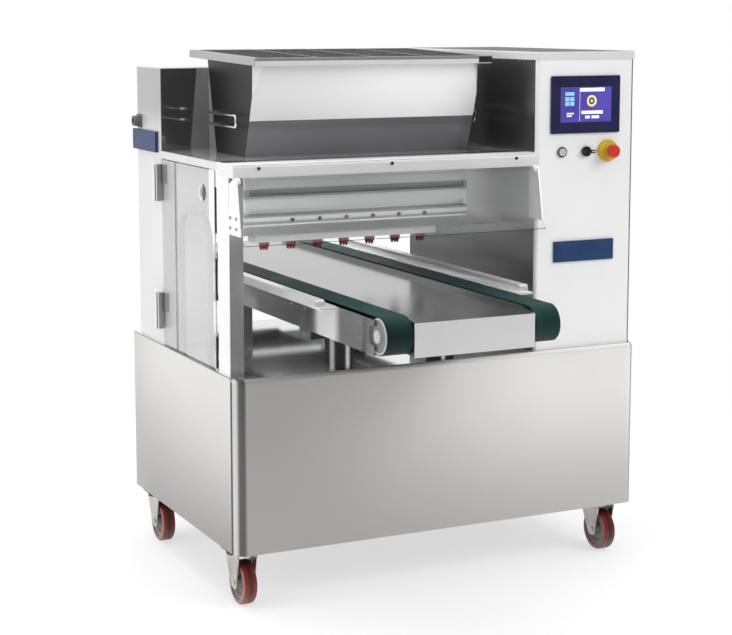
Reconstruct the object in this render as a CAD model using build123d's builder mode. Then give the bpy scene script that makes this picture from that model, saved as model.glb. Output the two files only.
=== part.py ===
from build123d import *
import os
from math import cos, radians, sin, tan

# Dough depositor on castors: a hopper with a safety grid feeds two fluted rollers and a row of
# star nozzles, and a two-belt conveyor carries baking trays under them.
# Millimetres. +X is the operator's right, the front faces -Y, +Z is up.
# The origin is on the floor, under the middle of the whole machine.
os.makedirs("parts", exist_ok=True)

# Clearances shared by everything that fits together
running_gap = 0.3  # round whatever turns or slides
fit_gap = 0.05  # round whatever is pressed or bonded in place
seam = 2  # open seam between neighbouring panels
sheet = 3  # steel sheet of covers, panels and boxes

# Castors
wheel_diameter = 125
tread_width = 40
castor_height = 155
castor_trail = 30
castor_plate = (80, 104, 6)  # width, depth, thickness
castor_plate_round = 12
castor_inset_left = 44  # swivel axis from the left side of the base
castor_inset_right = 80
castor_inset_depth = 96  # swivel axis from the front or rear of the base
crown_diameter = 72
crown_height = 10
kingpin_diameter = 14
fork_gauge = 4
fork_width = 62
fork_end_radius = 15
axle_diameter = 10
axle_head_diameter = 17
axle_head_height = 5
hub_diameter = 95
hub_rim = 8
hub_web = 12
hub_dish = 4
hub_boss_diameter = 30
hub_boss_length = 44
tyre_round = 7

# Base cabinet
base_width = 1320
base_depth = 870
base_height = 500
corner_radius = 35  # upright front corners of the wrapped front panel
corner_return = 3  # straight sheet behind each rounded corner
bend_radius = 12  # bend from the front panel into its top fold
top_fold = 14
frame_tube = 40

# Upper structure
side_inset = 5  # side faces of door and tower behind the base's left side
tower_width = 155
tower_depth = 218
tower_height = 839
tower_setback = 52  # from the rear of the base
tower_edge = 4
housing_height = 304
ledge_height = 592  # top of the ledge above the deck
ledge_gauge = 4
ledge_lip = 22
rail_setback = 15  # rail face behind the front of the base
rail_depth = 122
rail_height = 38
rail_step = 2  # rail top above the ledge
rail_round = 12
rail_screw_spread = 407
rail_screw_drop = 13
screw_diameter = 9
screw_head = 3.5
post_width = 42
post_depth = 84
post_setback = 36  # post face behind the rail face

# Control column
column_width = 337
column_depth = 815
column_height = 866  # without its cap
column_inset = 14  # from the right side of the base
column_setback = 20  # from the front of the base
column_return = 15
column_round = 9
cap_height = 24
cap_overhang = 2
cap_round = 4
screen_bezel = (240, 170, 6)  # width, height, proud of the panel
screen_round = 4
screen_body_inset = 10
screen_body_depth = 55
screen_glass_size = (178, 104, 2)
screen_drop = 133  # centre below the column's upper edge
screen_offset = -4.5  # centre from the middle of the column
switch_drop = 273  # row of switches below the column's upper edge
switch_offsets = (-84.5, -0.5, 75.5)  # start, selector, emergency stop
barrel_diameter = 22
barrel_length = 30
start_bezel_diameter = 31
start_bezel_proud = 6
start_cap_diameter = 23
start_cap_height = 4.5
start_recess = 5.5
start_stem_diameter = 12
start_travel = 3
start_spare = 1  # room left behind the pressed cap
start_chamfer = 0.5
selector_diameter = 30
selector_height = 9
selector_lever = (26, 10, 18)  # reach from the axis, thickness, proud of the panel
lever_inset = 1
collar_diameter = 66
collar_height = 10
collar_round = 1
collar_neck_diameter = 30
collar_neck_height = 12
stop_diameter = 40
stop_head = 16
stop_stem_diameter = 14
stop_stand = 8  # head above the collar neck
stop_round = 6

# Nameplates
plate_size = (210, 62)
front_plate_proud = 6
side_plate_proud = 10
front_plate_height = 295
side_plate_height = 617
side_plate_overhang = 17  # past the tower's rear edge

# Socket on the tower
socket_flange = (44, 40, 4)  # depth, height, thickness
socket_round = 4
socket_diameter = 32
socket_length = 18
socket_bore = 20
socket_bore_depth = 15
socket_height = 673
socket_edge = 24  # centre from the tower's rear edge

# Side door
hinge_diameter = 28
hinge_stand = 1  # barrel clear of the side face
hinge_height = 110
hinge_leaf = 70
hinge_leaf_gauge = 6
hinge_strap = 46
hinge_strap_gauge = 4
hinge_pin = 12
hinge_setback = 5  # hinge axis in front of the tower
hinge_heights = (109, 498)  # hinge middles above the deck
door_foot = 5  # door above the deck
door_head = 26  # door below the top of the ledge
stile_width = 108
stile_gap = 7  # stile in front of the tower
door_post_gap = 32  # free edge behind the front post
door_sheet_gauge = 5
door_lap = 20
ring_outer = 47
ring_inner = 36
ring_flange = 2
ring_height = 497
ring_edge = 92  # centre from the free edge

# Arch tube behind the door
arch_diameter = 20
arch_height = 431
arch_span = 232
arch_bend = 80
arch_rear = 119  # rear leg in front of the tower
arch_inset = 22

# Hopper and lid
line_offset = 17  # middle of the process line from the middle of the opening
head_setback = 225  # middle of hopper mouth, head and nozzles in front of the tower
hopper_length = 728
mouth_depth = 226
rim_front_reach = 197
rim_rear_reach = 180
rim_height = 264  # front rim above the ledge
facet = 25  # corner facets at the front of the rim
facet_height = 90
lid_tilt = 1.6
lid_width = 760
lid_depth = 523
lid_front_overhang = 33
lid_height = 22
lid_bar = 22
grid_bar = 8
grid_height = 10
grid_bars = 9
grid_ties = 3
lid_axis_stand = 14  # hinge axis behind the lid
lid_axis_rise = 11  # hinge axis above the lid's underside
lid_ear_width = 20
lid_ear_radius = 9
lid_pin = 8
bracket_gauge = 7
bracket_radius = 10
bracket_foot = (70, 34, 3)
bracket_spread = 500
handle_rod = 8
handle_stand = 26
handle_length = 224
handle_drop = 33
handle_height = 119  # upper rod above the ledge
handle_bend = 12

# Depositing head
head_length = 728
head_depth = 220
head_height = 233
end_plate_gauge = 12
upper_band = 88  # plain face below the ledge
throat_depth = 20
throat_slope = 23
mid_bar = 37
groove_height = 20
clamp_height = 30
clamp_step = 3
foot_depth = 80
feed_diameter = 90
feed_spacing = 94
feed_drop = 68  # roller axes below the ledge
feed_clearance = 0.5
feed_shaft = 30
feed_flutes = 14
flute_diameter = 11
inlet_width = 124
nozzle_count = 7
nozzle_pitch = 87
nozzle_hole = 16
nozzle_bar_depth = 56
nozzle_bar_height = 25
nozzle_bar_margin = 40
nozzle_diameter = 32
nozzle_tip = 22
nozzle_cup = 9
nozzle_height = 25
nozzle_wall = 2.5
nozzle_teeth = 8
tooth_depth = 9
tooth_width = 6
clamp_bolt_diameter = 11
clamp_bolt_head = 5

# Front guard
guard_axis_stand = 10  # hinge axis in front of the rail
guard_axis_drop = 8  # hinge axis below the rail
guard_knuckle = 9
guard_pin = 10
guard_gauge = 5
guard_height = 147
guard_lean = 26
guard_lip = 24
guard_side_gap = 7
cheek_rear = 42
cheek_screws = ((31, -100), (-13, -100), (31, -128), (-13, -128))  # from the hinge axis
lug_gauge = 10
lug_radius = 8

# Conveyor
nose_reach = 445  # belt nose in front of the base, and behind it
belt_width = 75
belt_gauge = 2.5
belt_spread = 445
belt_diameter = 102
belt_height = 221  # carrying surface above the deck
pan_width = 362
pan_drop = 15  # pan below the carrying surface
pan_foot = 106  # apron's lower edge below the carrying surface
pan_nose = 2  # apron behind the belt nose
pan_side = 4
roller_shaft = 25
roller_margin = 2
roller_boss = 34
roller_boss_proud = 5
roller_dish = 2
roller_rim = 5
beam_gauge = 4
beam_side_gap = 4
beam_drop = 8  # beam's upper edge below the carrying surface
beam_under = 1  # beam's lower edge below the belts
beam_lip = 14  # beam end short of the roller axis
notch_depth = 26
notch_height = 50
notch_round = 14
cross_height = 24
cross_depth = 80
cross_inset = 60  # cross members from the front and rear of the base
guide_width = 70
guide_height = 29
guide_rise = 16  # guide top above the carrying surface
guide_gauge = 3
guide_inner = 305  # from the middle of the line to the guides' inner faces
guide_setback = 281  # guides' front ends behind the belt nose
guide_tower_gap = 15
guide_bracket = 40
guide_bracket_spread = 480
leg_width = 50
leg_depth = 80
leg_spread = 328

# Main planes of the machine
hinge_reach = hinge_stand + hinge_diameter - side_inset
base_x = hinge_reach / 2
base_left = base_x - base_width / 2
base_right = base_x + base_width / 2
base_front = -base_depth / 2
base_rear = base_depth / 2
base_bottom = castor_height
deck_top = base_bottom + base_height
wrap_end = base_front + corner_radius + corner_return
side_face = base_left + side_inset
tower_right = side_face + tower_width
tower_rear = base_rear - tower_setback
tower_front = tower_rear - tower_depth
tower_top = deck_top + tower_height
column_right = base_right - column_inset
column_left = column_right - column_width
column_x = (column_left + column_right) / 2
column_front = base_front + column_setback
column_rear = column_front + column_depth
column_top = deck_top + column_height
ledge_top = deck_top + ledge_height
ledge_under = ledge_top - ledge_gauge
rail_front = base_front + rail_setback
rail_rear = rail_front + rail_depth
rail_top = ledge_top + rail_step
rail_under = rail_top - rail_height
line_x = (side_face + column_left) / 2 + line_offset
head_y = tower_front - head_setback
belt_top = deck_top + belt_height
roller_z = belt_top - belt_diameter / 2
nose_y = base_depth / 2 + nose_reach
roller_y = nose_y - belt_diameter / 2
column_face = Plane.XZ.offset(-column_front)


def save(builder, name):
    """Label a finished piece and write it."""
    builder.part.label = name
    export_step(builder.part, f"parts/{name}.step")


def span(low, high):
    """Middle and length between two coordinates."""
    return (low + high) / 2, high - low


def block(x_span, y_span, z_span, mode=Mode.ADD):
    """Add or cut a box between pairs of coordinates."""
    x_mid, x_size = span(*x_span)
    y_mid, y_size = span(*y_span)
    z_mid, z_size = span(*z_span)
    with Locations((x_mid, y_mid, z_mid)):
        Box(x_size, y_size, z_size, mode=mode)


def wrapped_block(x_span, front, depth, bottom, height, corner, bend=0):
    """Solid with rounded upright front corners and, if asked, a rounded upper front edge."""
    x_mid, width = span(*x_span)
    with BuildPart() as wrapped:
        with BuildSketch(Plane.XY.offset(bottom)) as outline:
            with Locations((x_mid, front + depth / 2)):
                Rectangle(width, depth)
            fillet(outline.vertices().group_by(Axis.Y)[0], corner)
        extrude(amount=height)
        if bend:
            upper_edges = wrapped.edges().group_by(Axis.Z)[-1].sort_by(Axis.Y)
            fillet(upper_edges[:-1], bend)
    return wrapped.part


def side_profile(points, x_start, length, mode=Mode.ADD):
    """Extrude a closed outline of (y, z) points along +X."""
    with BuildSketch(Plane.YZ.offset(x_start)) as profile:
        with BuildLine():
            Polyline(*points, close=True)
        make_face()
    extrude(profile.sketch, amount=length, mode=mode)


def side_disc(y, z, diameter, x_start, length, mode=Mode.ADD):
    """Round bar or hole along +X."""
    with BuildSketch(Plane.YZ.offset(x_start)) as section:
        with Locations((y, z)):
            Circle(diameter / 2)
    extrude(section.sketch, amount=length, mode=mode)


def face_disc(x, z, diameter, start, length, mode=Mode.ADD):
    """Round bar or hole square to the column's front, outwards from start."""
    with BuildSketch(column_face.offset(start)) as section:
        with Locations((x, z)):
            Circle(diameter / 2)
    extrude(section.sketch, amount=length, mode=mode)


# Base cabinet: welded chassis
frame_x = (base_left + sheet, base_right - sheet)
frame_y = (wrap_end, base_rear - sheet)
frame_mid, frame_size = span(*frame_y)
frame_width = base_width - 2 * sheet
with BuildPart() as base_chassis:
    with BuildSketch(Plane.XY.offset(base_bottom)):
        with Locations((base_x, frame_mid)):
            Rectangle(frame_width, frame_size)
        tongue_mid, tongue_size = span(base_front + sheet, wrap_end)
        with Locations((base_x, tongue_mid)):
            Rectangle(base_width - 2 * corner_radius, tongue_size)
    extrude(amount=sheet)
    with BuildSketch(Plane.XY.offset(base_bottom + sheet)):
        with Locations((base_x, frame_mid)):
            Rectangle(frame_width, frame_size)
            Rectangle(frame_width - 2 * frame_tube, frame_size - 2 * frame_tube, mode=Mode.SUBTRACT)
    extrude(amount=frame_tube)
    with BuildSketch(Plane.XY.offset(base_bottom + sheet + frame_tube)):
        with Locations((base_x, frame_mid)):
            with GridLocations(frame_width - frame_tube, frame_size - frame_tube, 2, 2):
                Rectangle(frame_tube, frame_tube)
    extrude(amount=base_height - 2 * sheet - frame_tube)
save(base_chassis, "base_chassis")

# Base cabinet: front panel wrapped round both front corners and folded over at the top
with BuildPart() as base_front_panel:
    wrap_depth = corner_radius + corner_return
    add(wrapped_block((base_left, base_right), base_front, wrap_depth, base_bottom, base_height,
                      corner_radius, bend_radius))
    add(wrapped_block(frame_x, base_front + sheet, wrap_depth, base_bottom, base_height - sheet,
                      corner_radius - sheet, bend_radius - sheet), mode=Mode.SUBTRACT)
    block((base_left + top_fold, base_right - top_fold), (base_front + top_fold, wrap_end + sheet),
          (deck_top - 2 * sheet, deck_top + sheet), Mode.SUBTRACT)
save(base_front_panel, "base_front_panel")

# Base cabinet: side and rear panels
with BuildPart() as base_panels:
    side_y = (wrap_end + seam, base_rear)
    block((base_left, frame_x[0]), side_y, (base_bottom, deck_top))
    block((frame_x[1], base_right), side_y, (base_bottom, deck_top))
    block((frame_x[0] + seam, frame_x[1] - seam), (frame_y[1], base_rear), (base_bottom, deck_top))
save(base_panels, "base_panels")

# Base cabinet: polished deck, narrowed at the front to lie between the folds
with BuildPart() as deck_plate:
    with BuildSketch(Plane.XY.offset(deck_top - sheet)):
        deck_mid, deck_size = span(wrap_end + seam, frame_y[1])
        with Locations((base_x, deck_mid)):
            Rectangle(frame_width, deck_size)
        nose_mid, nose_size = span(base_front + top_fold + seam, wrap_end + seam)
        with Locations((base_x, nose_mid)):
            Rectangle(base_width - 2 * top_fold - 2 * seam, nose_size)
    extrude(amount=sheet)
save(deck_plate, "deck_plate")

# Control column: folded shell, open at the front
shell_front = column_front + column_return
with BuildPart() as control_column:
    with BuildSketch(Plane.XY.offset(deck_top)):
        shell_mid, shell_depth = span(shell_front, column_rear)
        with Locations((column_x, shell_mid)):
            Rectangle(column_width, shell_depth)
        with Locations((column_x, shell_mid - sheet)):
            Rectangle(column_width - 2 * sheet, shell_depth, mode=Mode.SUBTRACT)
    extrude(amount=column_height)
save(control_column, "control_column")

# Control column: front panel with the cut-outs for screen and switches
screen_x = column_x + screen_offset
screen_z = column_top - screen_drop
switch_z = column_top - switch_drop
start_x, selector_x, stop_x = (column_x + offset for offset in switch_offsets)
body_width = screen_bezel[0] - 2 * screen_body_inset
body_height = screen_bezel[1] - 2 * screen_body_inset
switch_hole = barrel_diameter + 2 * running_gap
with BuildPart() as column_front_panel:
    add(wrapped_block((column_left, column_right), column_front, column_return, deck_top,
                      column_height, column_round))
    add(wrapped_block((column_left + sheet, column_right - sheet), column_front + sheet,
                      column_return, deck_top, column_height, column_round - sheet),
        mode=Mode.SUBTRACT)
    with BuildSketch(column_face):
        with Locations((screen_x, screen_z)):
            Rectangle(body_width + 2 * fit_gap, body_height + 2 * fit_gap)
        with Locations((start_x, switch_z), (selector_x, switch_z), (stop_x, switch_z)):
            Circle(switch_hole / 2)
    extrude(amount=-sheet, mode=Mode.SUBTRACT)
save(column_front_panel, "column_front_panel")

# Control column: lipped cap
with BuildPart() as column_cap:
    cap_x = (column_left - cap_overhang, column_right + cap_overhang)
    cap_y = (column_front - cap_overhang, column_rear + cap_overhang)
    block(cap_x, cap_y, (column_top, column_top + cap_height))
    fillet(column_cap.edges().filter_by(Axis.Z), cap_round)
    fillet(column_cap.edges().group_by(Axis.Z)[-1], cap_round)
    block((cap_x[0] + sheet, cap_x[1] - sheet), (cap_y[0] + sheet, cap_y[1] - sheet),
          (column_top, column_top + cap_height - sheet), Mode.SUBTRACT)
save(column_cap, "column_cap")

# Touch screen: bezel with a body behind the panel and a recess for the glass
with BuildPart() as touch_screen:
    with BuildSketch(column_face):
        with Locations((screen_x, screen_z)):
            RectangleRounded(screen_bezel[0], screen_bezel[1], screen_round)
    extrude(amount=screen_bezel[2])
    with BuildSketch(column_face):
        with Locations((screen_x, screen_z)):
            Rectangle(body_width, body_height)
    extrude(amount=-screen_body_depth)
    with BuildSketch(column_face.offset(screen_bezel[2])):
        with Locations((screen_x, screen_z)):
            Rectangle(screen_glass_size[0] + 2 * fit_gap, screen_glass_size[1] + 2 * fit_gap)
    extrude(amount=-screen_glass_size[2], mode=Mode.SUBTRACT)
save(touch_screen, "touch_screen")

with BuildPart() as screen_glass:
    with BuildSketch(column_face.offset(screen_bezel[2] - screen_glass_size[2])):
        with Locations((screen_x, screen_z)):
            Rectangle(screen_glass_size[0], screen_glass_size[1])
    extrude(amount=screen_glass_size[2])
save(screen_glass, "screen_glass")

# Start button: bezel with its barrel, and the sprung cap that slides in it
with BuildPart() as start_bezel:
    face_disc(start_x, switch_z, start_bezel_diameter, 0, start_bezel_proud)
    face_disc(start_x, switch_z, barrel_diameter, 0, -barrel_length)
    face_disc(start_x, switch_z, start_cap_diameter + 2 * running_gap, start_bezel_proud,
              -start_recess, Mode.SUBTRACT)
    face_disc(start_x, switch_z, start_stem_diameter + 2 * running_gap, start_bezel_proud,
              -start_bezel_proud - barrel_length, Mode.SUBTRACT)
save(start_bezel, "start_bezel")

start_back = start_bezel_proud - start_recess + start_travel + start_spare
with BuildPart() as start_button:
    face_disc(start_x, switch_z, start_cap_diameter, start_back, start_cap_height)
    chamfer(start_button.edges().group_by(Axis.Y)[0], start_chamfer)
    face_disc(start_x, switch_z, start_stem_diameter, start_back,
              -start_back - barrel_length + start_travel)
save(start_button, "start_button")

# Selector: round knob with a lever grip, turning in the panel
with BuildPart() as selector_knob:
    face_disc(selector_x, switch_z, selector_diameter, running_gap, selector_height)
    face_disc(selector_x, switch_z, barrel_diameter, running_gap, -barrel_length)
    with BuildSketch(column_face.offset(running_gap + selector_height)):
        grip_mid, grip_length = span(-selector_diameter / 2 + lever_inset, selector_lever[0])
        with Locations((selector_x + grip_mid, switch_z)):
            SlotOverall(grip_length, selector_lever[1])
    extrude(amount=selector_lever[2] - selector_height)
save(selector_knob, "selector_knob")

# Emergency stop: yellow collar with neck and barrel, and the mushroom head with its stem
with BuildPart() as estop_collar:
    face_disc(stop_x, switch_z, collar_diameter, 0, collar_height)
    fillet(estop_collar.edges().group_by(Axis.Y)[0], collar_round)
    face_disc(stop_x, switch_z, collar_neck_diameter, collar_height, collar_neck_height)
    face_disc(stop_x, switch_z, barrel_diameter, 0, -barrel_length)
    face_disc(stop_x, switch_z, stop_stem_diameter + 2 * running_gap, -barrel_length,
              barrel_length + collar_height + collar_neck_height, Mode.SUBTRACT)
save(estop_collar, "estop_collar")

with BuildPart() as estop_button:
    head_back = collar_height + collar_neck_height + stop_stand
    face_disc(stop_x, switch_z, stop_diameter, head_back, stop_head)
    fillet(estop_button.edges().group_by(Axis.Y)[0], stop_round)
    face_disc(stop_x, switch_z, stop_stem_diameter, head_back, -head_back - barrel_length / 2)
save(estop_button, "estop_button")

# Nameplates: one on the column, one on the side of the tower
with BuildPart() as nameplates:
    with BuildSketch(column_face):
        with Locations((screen_x, deck_top + front_plate_height)):
            Rectangle(*plate_size)
    extrude(amount=front_plate_proud)
    with BuildSketch(Plane.YZ.offset(side_face)):
        plate_y = tower_rear + side_plate_overhang - plate_size[0] / 2
        with Locations((plate_y, deck_top + side_plate_height)):
            Rectangle(*plate_size)
    extrude(amount=-side_plate_proud)
save(nameplates, "nameplates")

# Drive tower: closed box cover, open to the deck
with BuildPart() as drive_tower:
    block((side_face, tower_right), (tower_front, tower_rear), (deck_top, tower_top))
    fillet(drive_tower.faces().sort_by(Axis.X)[0].edges().filter_by(Axis.Z), tower_edge)
    block((side_face + sheet, tower_right - sheet), (tower_front + sheet, tower_rear - sheet),
          (deck_top, tower_top - sheet), Mode.SUBTRACT)
save(drive_tower, "drive_tower")

# Rear housing: folded tube between the tower and the column
housing_bottom = tower_top - housing_height
with BuildPart() as rear_housing:
    block((tower_right, column_left), (tower_front, tower_rear), (housing_bottom, tower_top))
    block((tower_right, column_left), (tower_front + sheet, tower_rear - sheet),
          (housing_bottom + sheet, tower_top - sheet), Mode.SUBTRACT)
save(rear_housing, "rear_housing")

# Round socket on the tower's left face
with BuildPart() as side_socket:
    socket_y = tower_rear - socket_edge
    socket_z = deck_top + socket_height
    with BuildSketch(Plane.YZ.offset(side_face)):
        with Locations((socket_y, socket_z)):
            RectangleRounded(socket_flange[0], socket_flange[1], socket_round)
    extrude(amount=-socket_flange[2])
    socket_end = side_face - socket_flange[2] - socket_length
    side_disc(socket_y, socket_z, socket_diameter, socket_end, socket_length)
    side_disc(socket_y, socket_z, socket_bore, socket_end, socket_bore_depth, Mode.SUBTRACT)
save(side_socket, "side_socket")

# Ledge plate with the mouth under the hopper and a lip over the door
head_left = line_x - head_length / 2
roof_x = (side_face, column_left)
with BuildPart() as top_plate:
    block(roof_x, (rail_rear, tower_front), (ledge_under, ledge_top))
    block((side_face, side_face + sheet), (rail_rear, tower_front), (ledge_top - ledge_lip, ledge_top))
    block((head_left + end_plate_gauge, head_left + head_length - end_plate_gauge),
          (head_y - inlet_width / 2, head_y + inlet_width / 2), (ledge_under, ledge_top), Mode.SUBTRACT)
save(top_plate, "top_plate")

# Front rail: box section with a rounded upper edge, and the lugs and pins that carry the guard
guard_axis_y = rail_front - guard_axis_stand
guard_axis_z = rail_under - guard_axis_drop
guard_right = column_left - guard_side_gap
with BuildPart() as front_rail:
    block(roof_x, (rail_front, rail_rear), (rail_under, rail_top))
    fillet(front_rail.faces().sort_by(Axis.Y)[0].edges().group_by(Axis.Z)[-1], rail_round)
    block((side_face + sheet, column_left), (rail_front + sheet, rail_rear - sheet),
          (rail_under + sheet, rail_top - sheet), Mode.SUBTRACT)
    for cheek_outer, inward in ((side_face, 1), (guard_right, -1)):
        lug_start = cheek_outer + inward * (guard_gauge + running_gap)
        with BuildSketch(Plane.YZ.offset(lug_start)):
            with Locations((guard_axis_y, guard_axis_z)):
                Circle(lug_radius)
            with Locations((rail_front + lug_gauge, rail_under)):
                Rectangle(2 * lug_gauge, 2 * sheet)
            make_hull()
        extrude(amount=inward * lug_gauge)
        side_disc(guard_axis_y, guard_axis_z, guard_pin, cheek_outer,
                  inward * (guard_gauge + running_gap + lug_gauge))
save(front_rail, "front_rail")

# Front post between deck and rail
post_front = rail_front + post_setback
with BuildPart() as front_post:
    with BuildSketch(Plane.XY.offset(deck_top)):
        with Locations((side_face + post_width / 2, post_front + post_depth / 2)):
            Rectangle(post_width, post_depth)
            Rectangle(post_width - 2 * sheet, post_depth - 2 * sheet, mode=Mode.SUBTRACT)
    extrude(amount=rail_under - deck_top)
save(front_post, "front_post")

# Side door hinges: leaf on the tower, lower half of the barrel and the pin
hinge_x = side_face - hinge_stand - hinge_diameter / 2
hinge_y = tower_front - hinge_setback
with BuildPart() as hinge_leaves:
    for middle in hinge_heights:
        hinge_z = deck_top + middle
        with BuildSketch(Plane.YZ.offset(side_face)):
            with Locations((hinge_y + hinge_leaf / 2, hinge_z - hinge_height / 4)):
                Rectangle(hinge_leaf, hinge_height / 2)
            leaf_mid, leaf_length = span(tower_front, hinge_y + hinge_leaf)
            with Locations((leaf_mid, hinge_z + hinge_height / 4)):
                Rectangle(leaf_length, hinge_height / 2)
        extrude(amount=-hinge_leaf_gauge)
        with BuildSketch(Plane.XY.offset(hinge_z + running_gap)):
            with Locations((hinge_x, hinge_y)):
                Circle(hinge_diameter / 2 + running_gap)
        extrude(amount=hinge_height / 2, mode=Mode.SUBTRACT)
        with BuildSketch(Plane.XY.offset(hinge_z - hinge_height / 2)):
            with Locations((hinge_x, hinge_y)):
                Circle(hinge_diameter / 2)
        extrude(amount=hinge_height / 2)
        with BuildSketch(Plane.XY.offset(hinge_z)):
            with Locations((hinge_x, hinge_y)):
                Circle(hinge_pin / 2)
        extrude(amount=hinge_height / 2 - sheet)
save(hinge_leaves, "hinge_leaves")

# Side door: steel stile with the upper halves of the hinges
stile_rear = tower_front - stile_gap
stile_front = stile_rear - stile_width
door_z = (deck_top + door_foot, ledge_top - door_head)
with BuildPart() as door_stile:
    block((side_face, side_face + sheet), (stile_front, stile_rear), door_z)
    for middle in hinge_heights:
        hinge_z = deck_top + middle
        strap_z = (hinge_z + running_gap, hinge_z + hinge_height / 2)
        block((side_face - hinge_strap_gauge, side_face), (hinge_y - hinge_strap, hinge_y), strap_z)
        with BuildSketch(Plane.XY.offset(strap_z[0])):
            with Locations((hinge_x, hinge_y)):
                Circle(hinge_diameter / 2)
        extrude(amount=hinge_height / 2 - running_gap)
        with BuildSketch(Plane.XY.offset(strap_z[0])):
            with Locations((hinge_x, hinge_y)):
                Circle(hinge_pin / 2 + running_gap)
        extrude(amount=hinge_height / 2 - sheet, mode=Mode.SUBTRACT)
save(door_stile, "door_stile")

# Side door: clear sheet lapped behind the stile, with the hole for the finger ring
door_edge = post_front + post_depth + door_post_gap
ring_y = door_edge + ring_edge
ring_z = deck_top + ring_height
ring_neck = (ring_outer + ring_inner) / 2
with BuildPart() as door_sheet:
    block((side_face + sheet, side_face + sheet + door_sheet_gauge),
          (door_edge, stile_front + door_lap), door_z)
    side_disc(ring_y, ring_z, ring_neck + 2 * fit_gap, side_face + sheet, door_sheet_gauge, Mode.SUBTRACT)
save(door_sheet, "door_sheet")

with BuildPart() as door_pull:
    side_disc(ring_y, ring_z, ring_outer, side_face + sheet, -ring_flange)
    side_disc(ring_y, ring_z, ring_neck, side_face + sheet, door_sheet_gauge)
    side_disc(ring_y, ring_z, ring_inner, side_face + sheet - ring_flange,
              ring_flange + door_sheet_gauge, Mode.SUBTRACT)
save(door_pull, "door_pull")

# Arch of bent tube standing on the deck behind the door
with BuildPart() as arch_tube:
    arch_x = side_face + arch_inset
    arch_y = tower_front - arch_rear
    arch_top = deck_top + arch_height
    with BuildLine() as arch_path:
        FilletPolyline((arch_x, arch_y, deck_top), (arch_x, arch_y, arch_top),
                       (arch_x, arch_y - arch_span, arch_top), (arch_x, arch_y - arch_span, deck_top),
                       radius=arch_bend)
    with BuildSketch(Plane.XY.offset(deck_top)):
        with Locations((arch_x, arch_y)):
            Circle(arch_diameter / 2)
    sweep(path=arch_path.wires()[0])
save(arch_tube, "arch_tube")

# Hopper: sheet shell, wider at the rim than at the mouth, with faceted front corners
hopper_left = line_x - hopper_length / 2
hopper_right = line_x + hopper_length / 2
mouth_front = head_y - mouth_depth / 2
mouth_rear = head_y + mouth_depth / 2
rim_front = head_y - rim_front_reach
rim_rear = head_y + rim_rear_reach
rim_z = ledge_top + rim_height
rim_rise = tan(radians(lid_tilt))
rim_rear_z = rim_z + (rim_rear - rim_front) * rim_rise
wall_slope = (mouth_front - rim_front) / rim_height
with BuildPart() as hopper_shell:
    side_profile(((mouth_front, ledge_top), (mouth_rear, ledge_top), (rim_rear, rim_rear_z),
                  (rim_front, rim_z)), hopper_left, hopper_length)
    for corner_x, inward in ((hopper_left, 1), (hopper_right, -1)):
        facet_foot = rim_z - facet_height
        facet_foot_y = rim_front + facet_height * wall_slope
        with BuildSketch(Plane.XY.offset(facet_foot)) as narrow_end:
            with BuildLine():
                Polyline((corner_x - inward * sheet, facet_foot_y - sheet),
                         (corner_x + inward * sheet, facet_foot_y - sheet),
                         (corner_x - inward * sheet, facet_foot_y + sheet), close=True)
            make_face()
        with BuildSketch(Plane.XY.offset(rim_z + sheet)) as wide_end:
            with BuildLine():
                Polyline((corner_x - inward * sheet, rim_front - sheet),
                         (corner_x + inward * (facet + sheet), rim_front - sheet),
                         (corner_x - inward * sheet, rim_front + facet + sheet), close=True)
            make_face()
        loft([narrow_end.sketch.faces()[0], wide_end.sketch.faces()[0]], mode=Mode.SUBTRACT)
    hopper_ends = hopper_shell.faces().sort_by(Axis.Z)
    offset(amount=-sheet, openings=[hopper_ends[0], hopper_ends[-1]], kind=Kind.INTERSECTION)
save(hopper_shell, "hopper_shell")

# Rod handles on both ends of the hopper
with BuildPart() as hopper_handles:
    handle_z = ledge_top + handle_height
    handle_rear = head_y + handle_length / 2
    handle_front = head_y - handle_length / 2
    for end_x, outward in ((hopper_left, -1), (hopper_right, 1)):
        rod_x = end_x + outward * handle_stand
        with BuildLine(mode=Mode.PRIVATE) as handle_path:
            FilletPolyline((end_x, handle_rear, handle_z), (rod_x, handle_rear, handle_z),
                           (rod_x, handle_front, handle_z), (rod_x, handle_front, handle_z - handle_drop),
                           (rod_x, handle_rear, handle_z - handle_drop),
                           (end_x, handle_rear, handle_z - handle_drop), radius=handle_bend)
        with BuildSketch(Plane.YZ.offset(end_x)):
            with Locations((handle_rear, handle_z)):
                Circle(handle_rod / 2)
        sweep(path=handle_path.wires()[0])
save(hopper_handles, "hopper_handles")

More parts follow.
